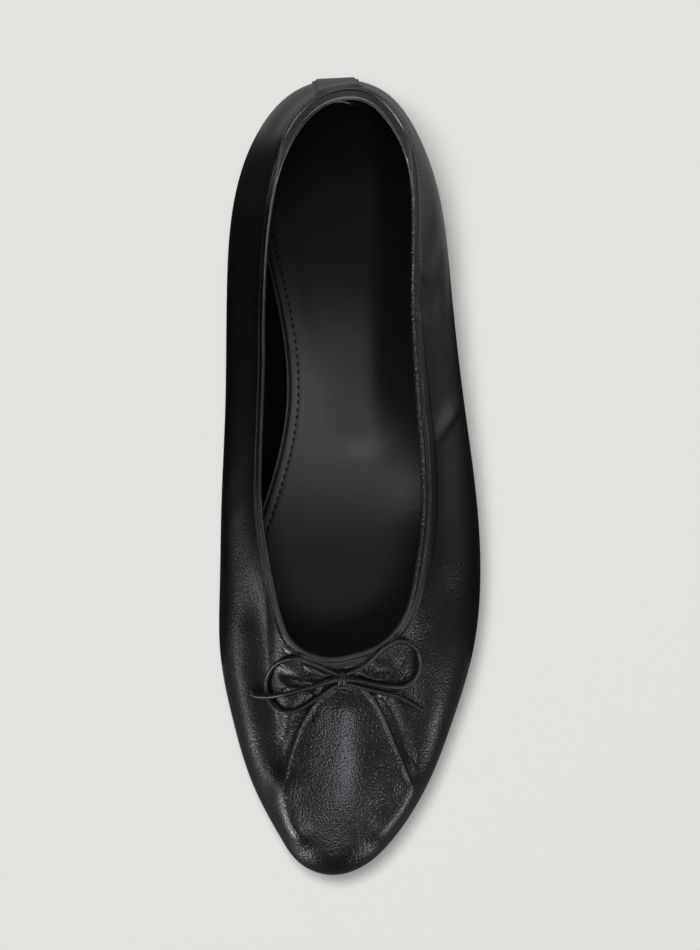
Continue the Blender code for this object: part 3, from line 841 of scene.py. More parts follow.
def makeUpper():
    turn = np.linspace(0, 1, upperForm["turnRows"], endpoint=False)
    wallShare = np.linspace(0, 1, upperForm["wallRows"] + 1)
    crowding = upperForm["crowding"]
    wallShare = (1 - crowding) * wallShare + crowding * (1 - (1 - wallShare) ** 2)
    rows = np.concatenate([turn, 1 + wallShare])
    tucks = [tuckPlaces(folds[name]["path"], rows) for name in ("inner tuck", "outer tuck")]
    homes = [tuck[int(len(rows) * upperForm["tuckHome"])] for tuck in tucks]
    fine = np.arange(0, ribCount, upperForm["fine"])
    chord = ribChords[fine.astype(int)] / mm
    nearTuck = np.max([np.exp(-((fine - home) / upperForm["tuckWide"]) ** 2) for home in homes], axis=0)
    onVamp = between(fine, upperForm["vampStart"], upperForm["vampEnd"])
    step = upperForm["sideStep"] + (upperForm["vampStep"] - upperForm["sideStep"]) * onVamp
    step = step + (upperForm["tuckStep"] - step) * nearTuck
    count = np.concatenate([[0.0], np.cumsum(chord * upperForm["fine"] / step)])
    total = int(count[-1])
    columns = np.interp(np.arange(total) * count[-1] / total, count, np.append(fine, ribCount))
    places = np.repeat(columns[:, None], len(rows), axis=1)
    for tuck, home in zip(tucks, homes):
        share = 1 - smoothStep(np.abs(columns - home), *upperForm["tuckPull"])
        places = places + share[:, None] * (tuck - home)[None, :]
    strip = toplineCurve.at(places[:, -1])[:, 4] - upperForm["hide"] * mm
    stop = climbBelow(places[:, -1], strip)
    climb = np.where(rows <= 1, rows, 1 + (rows - 1) * (stop[:, None] - 1))
    outer = leatherGrid(places, climb)
    picked = np.linspace(0, len(rows) - 1, upperForm["insideRows"]).round().astype(int)
    inner = leatherGrid(places[:, picked], climb[:, picked], -upperForm["thickness"] * mm)
    piece = shellPiece("upper_leather", outer, inner, finishes["upper"])
    onRoot(piece, "upper_leather", "upper")
    faces = gridFaces(*outer.shape[:2], True, False)
    return piece, surfaceTree(outer, faces)


upper, leather = makeUpper()
print("upper made:", len(upper.data.polygons), "faces")


# Lining: a thin sheet inside the leather, from the turned-in edge up to the binding
liningForm = {"low": 0.10, "belowTop": 1.6, "behind": 0.05, "columnsPerRib": 12, "rows": 40}  # climb, mm


def makeLining():
    columns = np.arange(0, ribCount, 1 / liningForm["columnsPerRib"])
    places, share = np.meshgrid(columns, np.linspace(0, 1, liningForm["rows"]), indexing="ij")
    stop = climbBelow(columns, np.full(len(columns), liningForm["belowTop"] * mm))
    climb = liningForm["low"] + share * (stop[:, None] - liningForm["low"])
    outer = leatherGrid(places, climb, -(upperForm["thickness"] + liningForm["behind"]) * mm)
    inner = leatherGrid(places, climb, -last["wall"])
    onRoot(shellPiece("upper_lining", outer, inner, finishes["lining"]), "upper_leather")


makeLining()
print("lining made")


# Strip over the back seam, hemmed and sewn along both edges
stripForm = {
    "width": 14.5, "hemHigh": 1.30, "middleHigh": 0.40, "sewn": 1.2, "edge": 0.30, "underBand": 1.75,  # mm
    "groove": 0.30, "grooveWide": 0.28, "hemSoft": (0.9, 1.5), "lift": 0.03, "length": 55.0,
    "middle": (-4.7, -3.6), "middleClimb": (1.3, 2.0),  # where the strip's middle lies, low and high
    "hemShare": 0.45, "topThin": 0.55, "topStart": (0.955, 0.985), "low": 0.30, "topClimb": 1.9,
    "columns": 72, "rows": 70, "hemCrowding": 1.5, "sewnStops": 160, "sewnEnds": (0.05, 0.02),
    "reach": 1.6, "stops": 161,
    "stitches": {"pitch": 1.9 * mm, "length": 1.35 * mm, "thread": 0.30 * mm, "dip": 0.2 * mm,
                 "stand": 0.02 * mm},
}


# Places on the back where the strip's straight sides cross a level of the leather
def stripPlaces(across, climb):
    places = np.linspace(-stripForm["reach"], stripForm["reach"], stripForm["stops"])
    low, high = stripForm["middle"]
    found = []
    for side, level in zip(across, climb):
        plan = skin(places, np.full(len(places), level))[:, 0] / mm
        middle = low + (high - low) * smoothStep(level, *stripForm["middleClimb"])
        found.append(np.interp(side + middle, plan, places))
    return np.array(found)


# Topline binding: a puckered bead on the fold, a groove, and a strip sewn down on the leather.
# Millimetres; places are counted round the shoe from the heel.
bindingForm = {
    "bead": 0.85, "beadIn": -0.55, "beadOn": 1.1, "beadTurn": (212.0, -52.0), "step": 0.26, "fine": 0.01,
    "groove": 1.95, "grooveEdge": 0.18, "stand": 0.55,
    "underStrip": 0.85, "underClimb": 1.86, "underSoft": (0.05, 0.02),
    "heelEnds": (1.5, 3.0), "throatStart": (8.6, 10.0), "throatEnd": (16.2, 17.6),
    "throatBead": 0.2, "throatStand": 0.6,  # how much fuller the bead and flatter the strip are there
    # the band round the heel, from its inner edge out: across its middle, above its flat
    "rollIn": 0.25, "rollWide": 1.2, "rollLean": 25.0,
    "roll": ((-1.70, -0.75), (-1.80, -0.35), (-1.80, 0.05), (-1.74, 0.22), (-1.62, 0.32),
             (-1.48, 0.32), (-1.36, 0.20), (-1.26, 0.04), (-1.10, -0.02), (-0.55, 0.0),
             (0.10, 0.02), (0.75, 0.03), (1.10, 0.05), (1.25, 0.14), (1.40, 0.22),
             (1.56, 0.20), (1.68, 0.05), (1.74, -0.25), (1.72, -0.75)),
    "neck": (0.40, -0.15, 1.2),  # lift in the groove at the heel and elsewhere, and what fills it behind
    # the strip below the groove: share of its width, share of "stand", least lift round the heel
    "flange": ((0.0, 0.45, 1.45), (0.12, 0.86, 1.28), (0.3, 1.0, 1.0), (0.6, 1.0, 0.6),
               (0.8, 0.92, 0.5), (0.94, 0.62, 0.3), (1.0, 0.1, 0.1)),
    "flangeStart": 0.2, "backing": 0.02, "backingShare": 0.7,
    # the facing inside the shoe: how far down, how far in, less at the heel, its top and thickness
    "facing": 3.4, "facingDepth": 1.62, "facingBack": 0.42, "facingTop": 2.4, "facingThick": 0.37,
    "facingLip": 0.02, "facingShoulder": (0.67, 2.2),
    "puckerPitch": 0.62, "pucker": 0.16, "puckerTurn": 1.3, "leastPucker": 0.12, "innerPucker": 0.25,
    "outerPuckers": ((1.6, 2.8), (7.0, 8.6)), "innerPuckers": ((17.5, 19.0), (23.0, 24.5)),
    "finePitch": 2.1, "fineTurn": 1.7, "fineShare": 0.6,
    "sewn": 0.75, "sewnStand": 0.80, "rows": ((-9.1, -0.1), (-0.1, 9.3)),
    "stitches": {"pitch": 1.45 * mm, "length": 1.0 * mm, "thread": 0.34 * mm, "dip": 0.22 * mm,
                 "stand": 0.06 * mm},
}


def bindingColumns():
    fine = np.arange(0, ribCount, bindingForm["fine"])
    line = ribsAt(fine)[4]
    reach = travelled(np.vstack([line, line[:1]]))
    count = int(reach[-1] / (bindingForm["step"] * mm))
    wanted = np.arange(count) * reach[-1] / count
    return np.interp(wanted, reach, np.append(fine, ribCount)), wanted / mm


# Share of the groove between bead and strip: none round the heel, where the band is plain
def grooveShare(places):
    return smoothStep(np.abs(bothWays(places)), *bindingForm["heelEnds"])


# One where the binding lies under the strip on the back, else none
def underStrip(places):
    half = stripForm["width"] / 2
    first, end = stripPlaces(np.array([-half, half]), np.full(2, bindingForm["underClimb"]))
    outside, inside = bindingForm["underSoft"]
    return between(bothWays(places), (first - outside, first + inside), (end - inside, end + outside))


# How much the bead is puckered: most along the outer side
def puckerShare(places):
    outerSide = between(places, *bindingForm["outerPuckers"])
    innerSide = between(places, *bindingForm["innerPuckers"])
    return bindingForm["leastPucker"] + np.maximum(outerSide, bindingForm["innerPucker"] * innerSide)


def puckers(reach, turn):
    turns = reach / bindingForm["puckerPitch"]
    fineTurns, fineTurn = turns * bindingForm["finePitch"], turn * bindingForm["fineTurn"]
    lumps = np.array([noise.noise(Vector((along, turn, 0.0))) for along in turns])
    fine = np.array([noise.noise(Vector((along, fineTurn, 5.0))) for along in fineTurns])
    return bindingForm["pucker"] * (lumps + bindingForm["fineShare"] * fine)


# Axes across the band, up and outward: along the leather, and turned level and leaning round the heel
def bandAxes(climb, run, share):
    level = (1 - share)[:, None]
    upright = unit(climb * (1 - level) + np.array([0.0, 0.0, 1.0]) * level)
    sideways = unit(np.cross(upright, run))
    lean = np.radians(bindingForm["rollLean"]) * level
    leaningUp = upright * np.cos(lean) - sideways * np.sin(lean)
    leaningOut = sideways * np.cos(lean) + upright * np.sin(lean)
    return (climb, unit(np.cross(climb, run))), (leaningUp, leaningOut)


def makeBinding():
    form = bindingForm
    places, reach = bindingColumns()
    count = len(places)
    width = toplineCurve.at(places)[:, 4] / mm
    top = leatherAt(places, np.full(count, 2.0))
    upperPull, bareTop = ribsAt(places)[3:]
    climb = unit(bareTop - upperPull)
    run = unit(np.roll(top, -1, axis=0) - np.roll(top, 1, axis=0))
    puckered = puckerShare(places)
    share = grooveShare(places)
    behind = (1 - share) ** 2
    under = underStrip(places)
    throat = between(places, form["throatStart"], form["throatEnd"])
    beadOn = form["beadOn"] * np.linalg.norm(climb[:, :2], axis=1)  # further over the edge where it is flat
    plain, leaning = bandAxes(climb, run, share)

    def beside(out, down, axes=plain):
        out, down = (np.broadcast_to(value, count)[:, None] * mm for value in (out, down))
        return top + axes[1] * out - axes[0] * down

    def onLeather(down, out):
        low = climbBelow(places, np.broadcast_to(down, count) * mm)
        return leatherAt(places, low, np.broadcast_to(out, count) * mm)

    bead, groove = form["bead"], form["groove"]
    stand = form["stand"] * (1 - form["throatStand"] * throat)
    facing = form["facingDepth"] - form["facingBack"] * (1 - share)
    profile = [beside(-facing, form["facing"])]
    profile.append(beside(form["facingLip"] - facing, form["facingTop"] - beadOn))
    middle = form["rollIn"] + (form["beadIn"] - form["rollIn"]) * share
    angles = np.radians(np.linspace(*form["beadTurn"], len(form["roll"])))
    for angle, (rollOut, rollUp) in zip(angles, form["roll"]):
        size = bead * (1 + puckered * puckers(reach, form["puckerTurn"] * angle))
        size = size * (1 + form["throatBead"] * throat)
        rollOut = rollOut * form["rollWide"]
        out = rollOut + (math.cos(angle) * size - rollOut) * share
        up = bead + rollUp + (math.sin(angle) * size - bead - rollUp) * share
        profile.append(beside(middle + out, bead - beadOn - up, leaning))
    neckHeel, neckElse, neckFill = form["neck"]
    neck = neckHeel + (neckElse - neckHeel) * share + neckFill * behind
    profile.append(onLeather(groove - form["grooveEdge"], neck))
    for across, height, least in form["flange"]:
        drop = (1 - height) * (share if across < form["flangeStart"] else 1.0)
        lift = stand * (1 - drop) * (1 - form["underStrip"] * under)
        profile.append(onLeather(groove + across * (width - groove), np.maximum(lift, least * behind)))
    profile.append(onLeather(groove + form["backingShare"] * (width - groove), form["backing"]))
    profile.append(onLeather(groove, form["backing"]))
    shoulderOut, shoulderDown = form["facingShoulder"]
    profile.append(beside(shoulderOut - facing, shoulderDown))
    profile.append(beside(form["facingThick"] - facing, form["facing"]))
    band = np.stack(profile, axis=1)
    faces = gridFaces(count, band.shape[1], True, True)
    piece = meshPiece("topline_binding_band", band, [face[::-1] for face in faces], finishes["binding"])
    onRoot(piece, "binding_leather", "topline_binding")

    sewn = width - form["sewn"]
    line = onLeather(sewn, stand * form["sewnStand"])
    normals = skinNormals(places, climbBelow(places, sewn * mm))
    turned = bothWays(places)
    parts = []
    for first, end in form["rows"]:
        row = (turned > first) & (turned < end) & (under < 0.5)
        parts.append(stitchRow(line[row], normals[row], form["stitches"]))
    points, sewnFaces = joinParts(parts)
    onRoot(meshPiece("topline_stitching", points, sewnFaces, finishes["thread"]), "binding_leather")
    return surfaceTree(band, faces)


binding = makeBinding()
print("binding made")


# Insole: a cupped sock with a raised outer edge at heel and waist, sewn round its edge
insoleForm = {
    # millimetres; the sock's edge from its rim in: inset, height against the sock
    "rings": ((0.0, -0.7), (0.25, -0.32), (0.6, -0.25), (1.2, -0.25), (1.35, -0.50), (1.55, -0.45),
              (1.62, -0.05), (1.9, 0.0), (3.6, 0.02), (4.0, -0.05), (4.4, 0.02), (5.4, 0.02)),
    "rimOut": 0.4, "rimSpread": 2.2, "spreadHeel": 30.0, "spreadFront": (96.0, 118.0), "spreadSoft": 8,
    "underIn": 1.0, "underHigh": 2.2, "columnsPerRib": 16, "rungs": 44,
    "sewn": 4.0, "sewnLow": 0.05, "sewnStep": 0.4,
    "cupRise": 0.36, "cupStart": 7.5, "cupSoft": 1.6, "cupFront": (88.0, 138.0), "cupSlant": 0.25,
    "archHigh": 0.7, "archSides": (9.5, 18.0), "archFront": (60.0, 120.0), "archTurn": (0.13, 70.0),
    "seatLow": 2.2, "padHigh": 0.9, "padBack": (8.0, 92.0), "padFront": 117.0, "padSoft": 24.0,
    "padMiddle": 4.0, "padCurve": 0.012,
    "lensHigh": 0.40, "lensMiddle": 4.8, "lensWide": 8.5, "lensBack": (84.0, 112.0), "lensSoft": 3.8,
    "stitches": {"pitch": 2.4 * mm, "length": 1.35 * mm, "thread": 0.62 * mm, "dip": 0.30 * mm,
                 "stand": 0.08 * mm},
}


# Relief of the sock above its plain level, in metres
def insoleRelief(points):
    x = points[:, 0] / mm
    s = fromHeel(points[:, 1]) / mm
    form = insoleForm
    cup = form["cupRise"] * form["cupSoft"] * np.log1p(np.exp((x - form["cupStart"]) / form["cupSoft"]))
    cup = cup * (1 - smoothStep(s - form["cupSlant"] * x, *form["cupFront"]))
    turn, turnFrom = form["archTurn"]
    arch = form["archHigh"] * smoothStep(turn * (s - turnFrom) - x, *form["archSides"])
    arch = arch * (1 - smoothStep(s, *form["archFront"]))
    ahead = s - form["padFront"] + form["padCurve"] * (x - form["padMiddle"]) ** 2
    back, crest = form["padBack"]
    bow = np.clip((crest - s) / (crest - back), 0, 1) ** 2  # the seat sinks more and more toward the heel
    pad = form["padHigh"] * (1 - smoothStep(ahead, -form["padSoft"], form["padSoft"]))
    lens = np.exp(-((x - form["lensMiddle"]) / form["lensWide"]) ** 2) * smoothStep(s, *form["lensBack"])
    pad = pad + form["lensHigh"] * lens * (1 - smoothStep(ahead, -form["lensSoft"], form["lensSoft"]))
    return (cup + arch + pad - (form["seatLow"] + form["padHigh"]) * bow) * mm


def makeInsole():
    form = insoleForm
    edge = ribsAt(np.arange(0, ribCount, 1 / form["columnsPerRib"]))[0]
    along = fromHeel(edge[:, 1]) / mm
    outerSide = (edge[:, 0] > 0) | (along < form["spreadHeel"])
    spread = np.where(outerSide, 1.0, 0.0) * (1 - smoothStep(along, *form["spreadFront"]))
    soft = form["spreadSoft"]
    wrapped = np.concatenate([spread[-soft:], spread, spread[:soft]])
    spread = np.convolve(wrapped, np.ones(2 * soft + 1) / (2 * soft + 1), "valid")
    rim = edge.copy()
    rim[:, :2] += planNormals(edge) * (form["rimOut"] + form["rimSpread"] * spread)[:, None] * mm

    def upside(points):
        return soleTop(points[:, 1]) + last["gap"] + last["insoleThickness"] + insoleRelief(points)

    def underside(points):
        return soleTop(points[:, 1]) + last["gap"]

    def edgeAbove(points):
        return underside(points) + form["underHigh"] * mm

    rings = [shifted(edge, -form["underIn"] * mm, height) for height in (underside, edgeAbove)]
    for inset, rise in form["rings"]:
        rings.append(shifted(rim, -inset * mm, lambda points: upside(points) + rise * mm))
    piece = platePiece("insole_sock", rings, form["rungs"], underside, upside, finishes["insole"])
    onRoot(piece, "insole_leather", "insole")
    line = shifted(rim, -form["sewn"] * mm, lambda points: upside(points) - form["sewnLow"] * mm)
    line = evenly(np.vstack([line, line[:1]]), form["sewnStep"] * mm)
    normals = np.tile([0.0, 0.0, 1.0], (len(line), 1))
    points, faces = stitchRow(line, normals, form["stitches"])
    onRoot(meshPiece("insole_stitching", points, faces, finishes["thread"]), "insole_leather")


makeInsole()
print("insole made")


def stripRise(across):
    form = stripForm
    fromEdge = form["width"] / 2 - np.abs(across)
    rise = form["middleHigh"] + (form["hemHigh"] - form["middleHigh"]) * (2 * across / form["width"]) ** 2
    rise = rise - form["groove"] * np.exp(-((fromEdge - form["sewn"]) / form["grooveWide"]) ** 2)
    rise = rise * (form["hemShare"] + (1 - form["hemShare"]) * smoothStep(fromEdge, *form["hemSoft"]))
    return rise * np.sqrt(np.clip(fromEdge / form["edge"], 0, 1))


def makeStrip():
    form = stripForm
    share = np.linspace(-1, 1, form["columns"])
    crowded = 1 - (1 - np.abs(share)) ** form["hemCrowding"]  # toward the hems
    across = form["width"] / 2 * np.sign(share) * crowded
    columns = stripPlaces(across, np.full(len(across), form["topClimb"]))
    stop = climbBelow(columns, np.full(len(columns), form["underBand"] * mm))
    rows = np.linspace(0, 1, form["rows"])
    climb = form["low"] + rows[None, :] * (stop[:, None] - form["low"])
    places = stripPlaces(np.repeat(across, len(rows)), climb.ravel()).reshape(climb.shape)
    ends = np.sqrt(np.clip(rows * form["length"] / form["edge"], 0, 1))
    ends = ends * (1 - form["topThin"] * smoothStep(rows, *form["topStart"]))
    rise = stripRise(across)[:, None] * ends[None, :] + form["lift"]
    outer = leatherGrid(places, climb, rise.ravel() * mm)
    inner = leatherGrid(places, climb)
    piece = shellPiece("back_strip_hemmed", outer, inner, finishes["strip"], False)
    onRoot(piece, "strip_leather", "back_strip")
    parts = []
    sewnLow, sewnTop = form["low"] + form["sewnEnds"][0], stop.min() - form["sewnEnds"][1]
    for side in (-1, 1):
        sewn = np.full(form["sewnStops"], side * (form["width"] / 2 - form["sewn"]))
        level = np.linspace(sewnLow, sewnTop, len(sewn))
        column = stripPlaces(sewn, level)
        line = leatherAt(column, level, stripRise(sewn) * mm)
        parts.append(stitchRow(line, skinNormals(column, level), form["stitches"]))
    points, faces = joinParts(parts)
    onRoot(meshPiece("back_strip_stitching", points, faces, finishes["thread"]), "strip_leather")


makeStrip()
print("back strip made")


# Bow: two cords that cross in the knot, each a loop and an end. Millimetres from the knot: across,
# toward the toe, and lift off what the cord lies on.
bowForm = {
    # the knot's place as shares of the shoe's length and ball width, the cords' lengths in metres
    "knotAlong": 0.7536, "knotAcross": -0.0314, "lengths": (0.091, 0.096), "cord": 1.5, "cordStep": 0.35,
    "innerStart": ((-0.3, -0.6, 0.9),),
    "innerLoop": ((-2.2, -1.4, 0.6), (-7.7, -3.9, 0.9), (-14.3, -6.2, 0.7), (-20.5, -4.5, 0.4),
                  (-23.6, 0.6, 0.4), (-22.8, 6.8, 0.4), (-18.8, 10.4, 0.4), (-13.5, 9.7, 0.4),
                  (-6.8, 5.6, 0.4), (-2.2, 2.4, 0.6)),
    "innerEnd": ((-2.2, 0.7, 2.4), (-9.3, 2.7, 1.9), (-17.6, 4.8, 2.3), (-22.9, 5.7, 2.5),
                 (-27.3, 5.4, 1.0), (-28.8, 3.9, 0.5)),
    "outerStart": ((0.3, -0.7, 1.0),),
    "outerLoop": ((2.2, -1.5, 0.8), (7.2, -4.2, 0.9), (13.0, -9.5, 0.5), (18.8, -11.6, 1.5),
                  (23.8, -8.1, 0.8), (24.0, -2.3, 0.5), (20.1, 2.3, 0.5), (13.5, 2.5, 0.9),
                  (6.0, 1.0, 1.9), (2.2, 0.5, 2.5)),
    "outerEnd": ((2.2, 1.9, 0.4), (8.9, 3.7, 0.4), (17.2, 5.8, 0.4), (25.1, 10.1, 0.5)),
    # how unevenly the cord is wound: share of its radius, turns a millimetre, start
    "uneven": ((0.025, 1.9, 0.0), (0.02, 4.7, 1.0)), "tipShare": 0.35, "tipRun": 0.5, "cordSides": 16,
    # the wraps of the knot: lean and offset
    "wraps": ((0.28, -0.55), (-0.22, 0.6)), "wrapStops": 60, "wrapSides": 14,
    "wrapHalf": (2.1, 1.55), "wrapCord": 1.35, "wrapLift": 1.9,
}
knotX = bowForm["knotAcross"] * last["ballWidth"]
knotY = float(toY(bowForm["knotAlong"]))


def cordLine(stops):
    line = []
    for across, ahead, lift in stops:
        x, y = knotX + across * mm, knotY - ahead * mm
        crossed = pointBelow(binding, x, y)
        rest = max(leatherUnder(leather, x, y).z, crossed.z if crossed else 0.0)
        line.append((x, y, rest + (bowForm["cord"] / 2 + lift) * mm))
    return smoothPath(line, bowForm["cordStep"] * mm)


def makeCord(name, parts, nodes):
    line = cordLine([stop for part in parts for stop in bowForm[part]])
    reach = travelled(line) / mm
    uneven = sum(share * np.sin(reach * turns + start) for share, turns, start in bowForm["uneven"])
    fromTip = np.minimum(reach, reach[-1] - reach)
    closing = np.sqrt(np.clip(bowForm["tipShare"] + fromTip / bowForm["tipRun"], 0, 1))
    radius = bowForm["cord"] / 2 * mm * (1 + uneven) * closing
    points, faces = tubeParts(line, radius, bowForm["cordSides"])
    piece = onRoot(meshPiece(name, points, faces, finishes["cord"]), "bow_cord", *nodes)


def makeKnot():
    base = leatherUnder(leather, knotX, knotY).z + bowForm["wrapLift"] * mm
    turn = np.linspace(0, 2 * np.pi, bowForm["wrapStops"])
    halfRun, halfRise = bowForm["wrapHalf"]
    parts = []
    for lean, offset in bowForm["wraps"]:
        wrap = np.column_stack([
            knotX + (offset + lean * np.cos(turn)) * mm,
            knotY + halfRun * np.cos(turn) * mm,
            base + halfRise * np.sin(turn) * mm,
        ])
        parts.append(tubeParts(wrap, bowForm["wrapCord"] / 2 * mm, bowForm["wrapSides"]))
    points, faces = joinParts(parts)
    return onRoot(meshPiece("bow_knot_wrap", points, faces, finishes["cord"]), "bow_cord", "bow_knot")


def makeBow():
    knot = makeKnot()
    underParts = "innerStart", "innerLoop", "outerEnd"
    overParts = "outerStart", "outerLoop", "innerEnd"
    makeCord("bow_cord_under", underParts, ("bow_loop_medial", "bow_end_lateral"))
    makeCord("bow_cord_over", overParts, ("bow_loop_lateral", "bow_end_medial"))


makeBow()
print("bow made")


# Sole: thin plate with a rounded edge and a shallow channel inside its rim, and a low heel block.
# Millimetres.
soleForm = {
    "round": 0.7, "channelDeep": 0.35, "channel": (6.0, 4.6, 4.2), "columnsPerRib": 16, "rungs": 24,
    # the edge above its rounded foot: in from the edge, down from the top
    "edge": ((0.0, 1.3), (0.22, 1.15), (0.22, 1.0), (0.0, 0.85), (0.0, 0.45), (0.15, 0.12), (0.5, 0.0)),
}
heelForm = {
    "in": 0.8, "round": 0.6, "layer": 2.6, "line": 0.15, "lineDeep": 0.25, "topRound": (0.2, 0.3),
    "breastClear": 0.4, "breastStops": 25, "columnsPerRib": 24,
}
roundMiddle = 0.3  # share of its radius that the middle of a rounded edge lies in from each side


def makeSole():
    def under(lift):
        return lambda points: soleBottom(points[:, 1]) + lift * mm

    def over(drop):
        return lambda points: soleTop(points[:, 1]) - drop * mm

    edge = ribsAt(np.arange(0, ribCount, 1 / soleForm["columnsPerRib"]))[0]
    out, turn, deep = last["soleEdge"] / mm, soleForm["round"], soleForm["channelDeep"]
    channel, channelWall, channelEdge = soleForm["channel"]
    profile = [(out - channel, under(deep)), (out - channelWall, under(deep))]
    profile += [(out - channelEdge, under(0.0)), (out - turn, under(0.0))]
    profile += [(out - turn * roundMiddle, under(turn * roundMiddle)), (out, under(turn))]
    profile += [(out - inset, over(drop)) for inset, drop in soleForm["edge"]]
    rings = [shifted(edge, reach * mm, height) for reach, height in profile]
    piece = platePiece("sole_plate", rings, soleForm["rungs"], under(deep), over(0.0), finishes["sole"])
    onRoot(piece, "outsole_rubber", "outsole")


# The sole's rim round the heel, closed by a straight breast
def heelOutline():
    edge = ribsAt(np.arange(0, ribCount, 1 / heelForm["columnsPerRib"]))[0]
    rim = shifted(edge, last["soleEdge"] - heelForm["in"] * mm, lambda points: np.zeros(len(points)))
    breast = float(toY(last["heelBreast"]))
    half = len(rim) // 2
    clear = breast + heelForm["breastClear"] * mm
    outer = [point for point in rim[:half] if point[1] > clear]
    inner = [point for point in rim[half:] if point[1] > clear]
    share = np.linspace(0, 1, heelForm["breastStops"])[:, None]
    corners = np.array([outer[-1][0], breast, 0]), np.array([inner[0][0], breast, 0])
    return np.array([*outer, *(corners[0] * (1 - share) + corners[1] * share), *inner])


def makeHeel():
    outline = heelOutline()
    middle = outline.mean(0)
    outward = unit(outline[:, :2] - middle[:2])
    turn, layer, line = heelForm["round"], heelForm["layer"], heelForm["line"]
    top = last["heelHeight"] / mm - last["gap"] / mm
    topIn, topDown = heelForm["topRound"]
    profile = [(-turn, 0.0), (-turn * roundMiddle, turn * roundMiddle), (0.0, turn)]
    profile += [(0.0, layer - line), (-heelForm["lineDeep"], layer), (0.0, layer + line)]
    profile += [(0.0, top - topDown), (-topIn, top)]
    rings = []
    for out, height in profile:
        ring = outline.copy()
        ring[:, :2] += outward * out * mm
        ring[:, 2] = height * mm
        rings.append(ring)
    count = len(outline)
    points = np.vstack([*rings, [[*middle[:2], 0.0]], [[*middle[:2], top * mm]]])
    faces = ringFaces(len(rings), count)
    lowMiddle, highMiddle = len(points) - 2, len(points) - 1
    lastRing = (len(rings) - 1) * count
    for i in range(count):
        j = (i + 1) % count
        faces.append((lowMiddle, i, j))
        faces.append((highMiddle, lastRing + j, lastRing + i))
    onRoot(meshPiece("heel_block", points, faces, finishes["heel"]), "heel_rubber", "heel")


makeSole()
makeHeel()
print("sole and heel made")


# Pale floor, soft studio light: one box lights the floor, the others only show as gloss
stage = {
    "floorTone": (0.80, 0.79, 0.757), "floorRough": 0.9, "floorGlow": 0.37, "floorShine": 0.1,
    "floorHalf": 3.0, "tooth": 900.0, "toothShade": 0.985, "world": 0.022,
    # name, what it lights, tilt from overhead and bearing from the outer side in degrees, distance and
    # sides in metres, watts
    "lights": (
        ("key", "matt", 13.0, 130.0, 5.0, 1.5, 1.5, 150.0),
        ("heel_box", "gloss", 42.0, 96.0, 2.2, 1.2, 1.5, 13.0),
        ("toe_box", "gloss", 28.5, 279.0, 2.2, 1.0, 0.66, 14.8),
        ("toe_inner", "gloss", 78.0, 225.0, 1.4, 0.6, 0.35, 11.8),
        ("inner_box", "gloss", 77.0, 197.0, 1.4, 0.30, 0.30, 1.25),
        ("toe_outer", "gloss", 78.0, 316.0, 1.4, 0.6, 0.35, 5.8),
        ("outer_box", "gloss", 60.0, 14.0, 1.6, 0.6, 0.4, 4.0),
    ),
    "glossTint": (1.0, 0.98, 1.07),
    # a black flag beside the inner quarter keeps the low boxes off it: where it stands across the shoe,
    # its two ends below and above, and its height
    "flag": {"across": -0.060, "low": (-0.036, 0.085), "high": (0.0, 0.070), "height": 0.070},
    # corners on the floor, and how brightly the gloss shows each card
    "cardLift": 0.0005,
    "cards": (
        (((-0.24, 0.17), (0.0, 0.10), (0.05, 0.06), (0.34, -0.02), (0.34, 0.60), (-0.24, 0.60)), 0.44),
        (((-0.30, -0.40), (0.30, -0.40), (0.30, -0.06), (-0.30, -0.06)), 0.08),
    ),
}


def makeFloor():
    paper = Finish("floor_paper")
    tooth = paper.cloud(paper.where(), stage["tooth"], 2.0)
    tone = stage["floorTone"]
    paper.shade({
        "Base Color": paper.blend(tooth, tone, tuple(stage["toothShade"] * part for part in tone)),
        "Roughness": stage["floorRough"],
        "Specular IOR Level": stage["floorShine"],
        "Emission Color": (*tone, 1.0),
        "Emission Strength": stage["floorGlow"],
    })
    half = stage["floorHalf"]
    corners = [(-half, -half, 0), (half, -half, 0), (half, half, 0), (-half, half, 0)]
    floor = meshPiece("floor", corners, [(0, 1, 2, 3)], paper.material)
    floor.visible_glossy = False


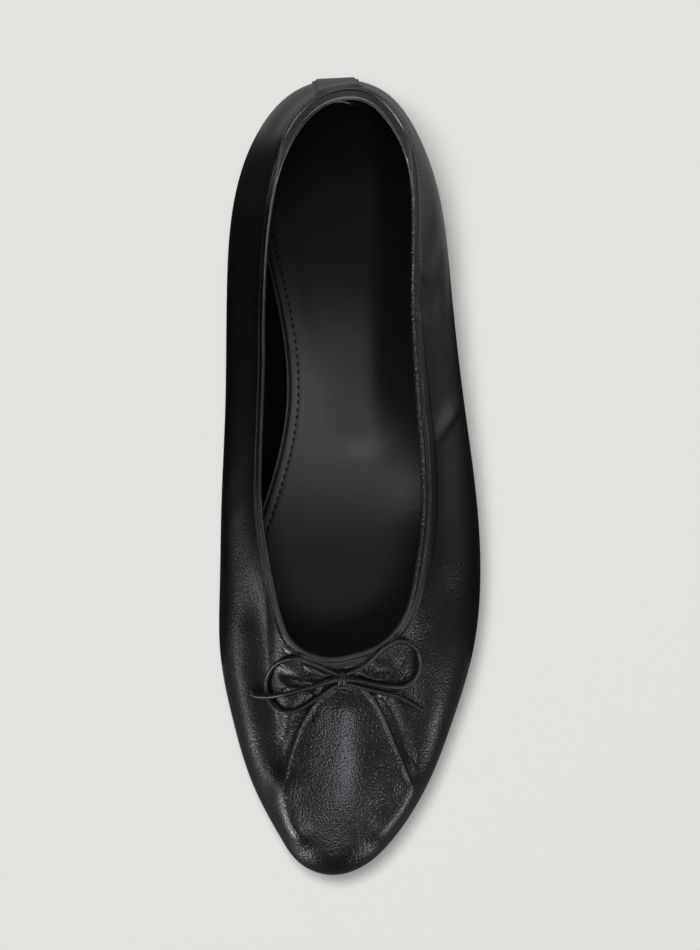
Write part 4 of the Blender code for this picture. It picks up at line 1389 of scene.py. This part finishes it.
def makeCards():
    for corners, strength in stage["cards"]:
        glow = Finish("bounce_card")
        glow.shade({"Base Color": (0, 0, 0, 1), "Emission Color": (1, 1, 1, 1)})
        glow.shade({"Emission Strength": strength})
        points = [(x, y, stage["cardLift"]) for x, y in corners]
        card = meshPiece("bounce_card", points, [tuple(range(len(points)))], glow.material)
        card.visible_camera = card.visible_diffuse = card.visible_shadow = False


# The flag, in a collection that the key light leaves out of its shadows
def makeFlag():
    black = Finish("flag_black")
    black.shade({"Base Color": (0, 0, 0, 1), "Specular IOR Level": 0.0, "Roughness": 1.0})
    form = stage["flag"]
    points = [(form["across"], y, 0.0) for y in form["low"]]
    points += [(form["across"], y, form["height"]) for y in reversed(form["high"])]
    flag = meshPiece("flag", points, [(0, 1, 2, 3)], black.material)
    flag.visible_camera = flag.visible_diffuse = False
    unflagged = bpy.data.collections.new("unflagged")
    unflagged.objects.link(flag)
    unflagged.collection_objects[0].light_linking.link_state = "EXCLUDE"
    return unflagged


def makeLights(unflagged):
    aim = Vector(view["aim"])
    for name, kind, tilt, bearing, distance, wide, tall, watts in stage["lights"]:
        lamp = bpy.data.lights.new(name, "AREA")
        lamp.shape, lamp.size, lamp.size_y, lamp.energy = "RECTANGLE", wide, tall, watts
        box = bpy.data.objects.new(name, lamp)
        box.visible_glossy, box.visible_diffuse = kind == "gloss", kind == "matt"
        box.visible_camera = False
        if kind == "gloss":
            lamp.color = stage["glossTint"]
        else:
            box.light_linking.blocker_collection = unflagged
        tilt, bearing = math.radians(tilt), math.radians(bearing)
        level = math.sin(tilt)
        toward = Vector((level * math.cos(bearing), level * math.sin(bearing), math.cos(tilt)))
        box.location = aim + toward * distance
        box.rotation_euler = (-toward).to_track_quat("-Z", "Y").to_euler()
        bpy.context.scene.collection.objects.link(box)


def makeWorld():
    world = bpy.data.worlds.new("studio")
    world.use_nodes = True
    sockets = world.node_tree.nodes["Background"].inputs
    sockets["Color"].default_value = (1.0, 1.0, 1.0, 1.0)
    sockets["Strength"].default_value = stage["world"]
    bpy.context.scene.world = world
    bpy.context.scene.view_settings.view_transform = "Standard"


makeFloor()
makeCards()
makeLights(makeFlag())
makeWorld()
print("stage set")
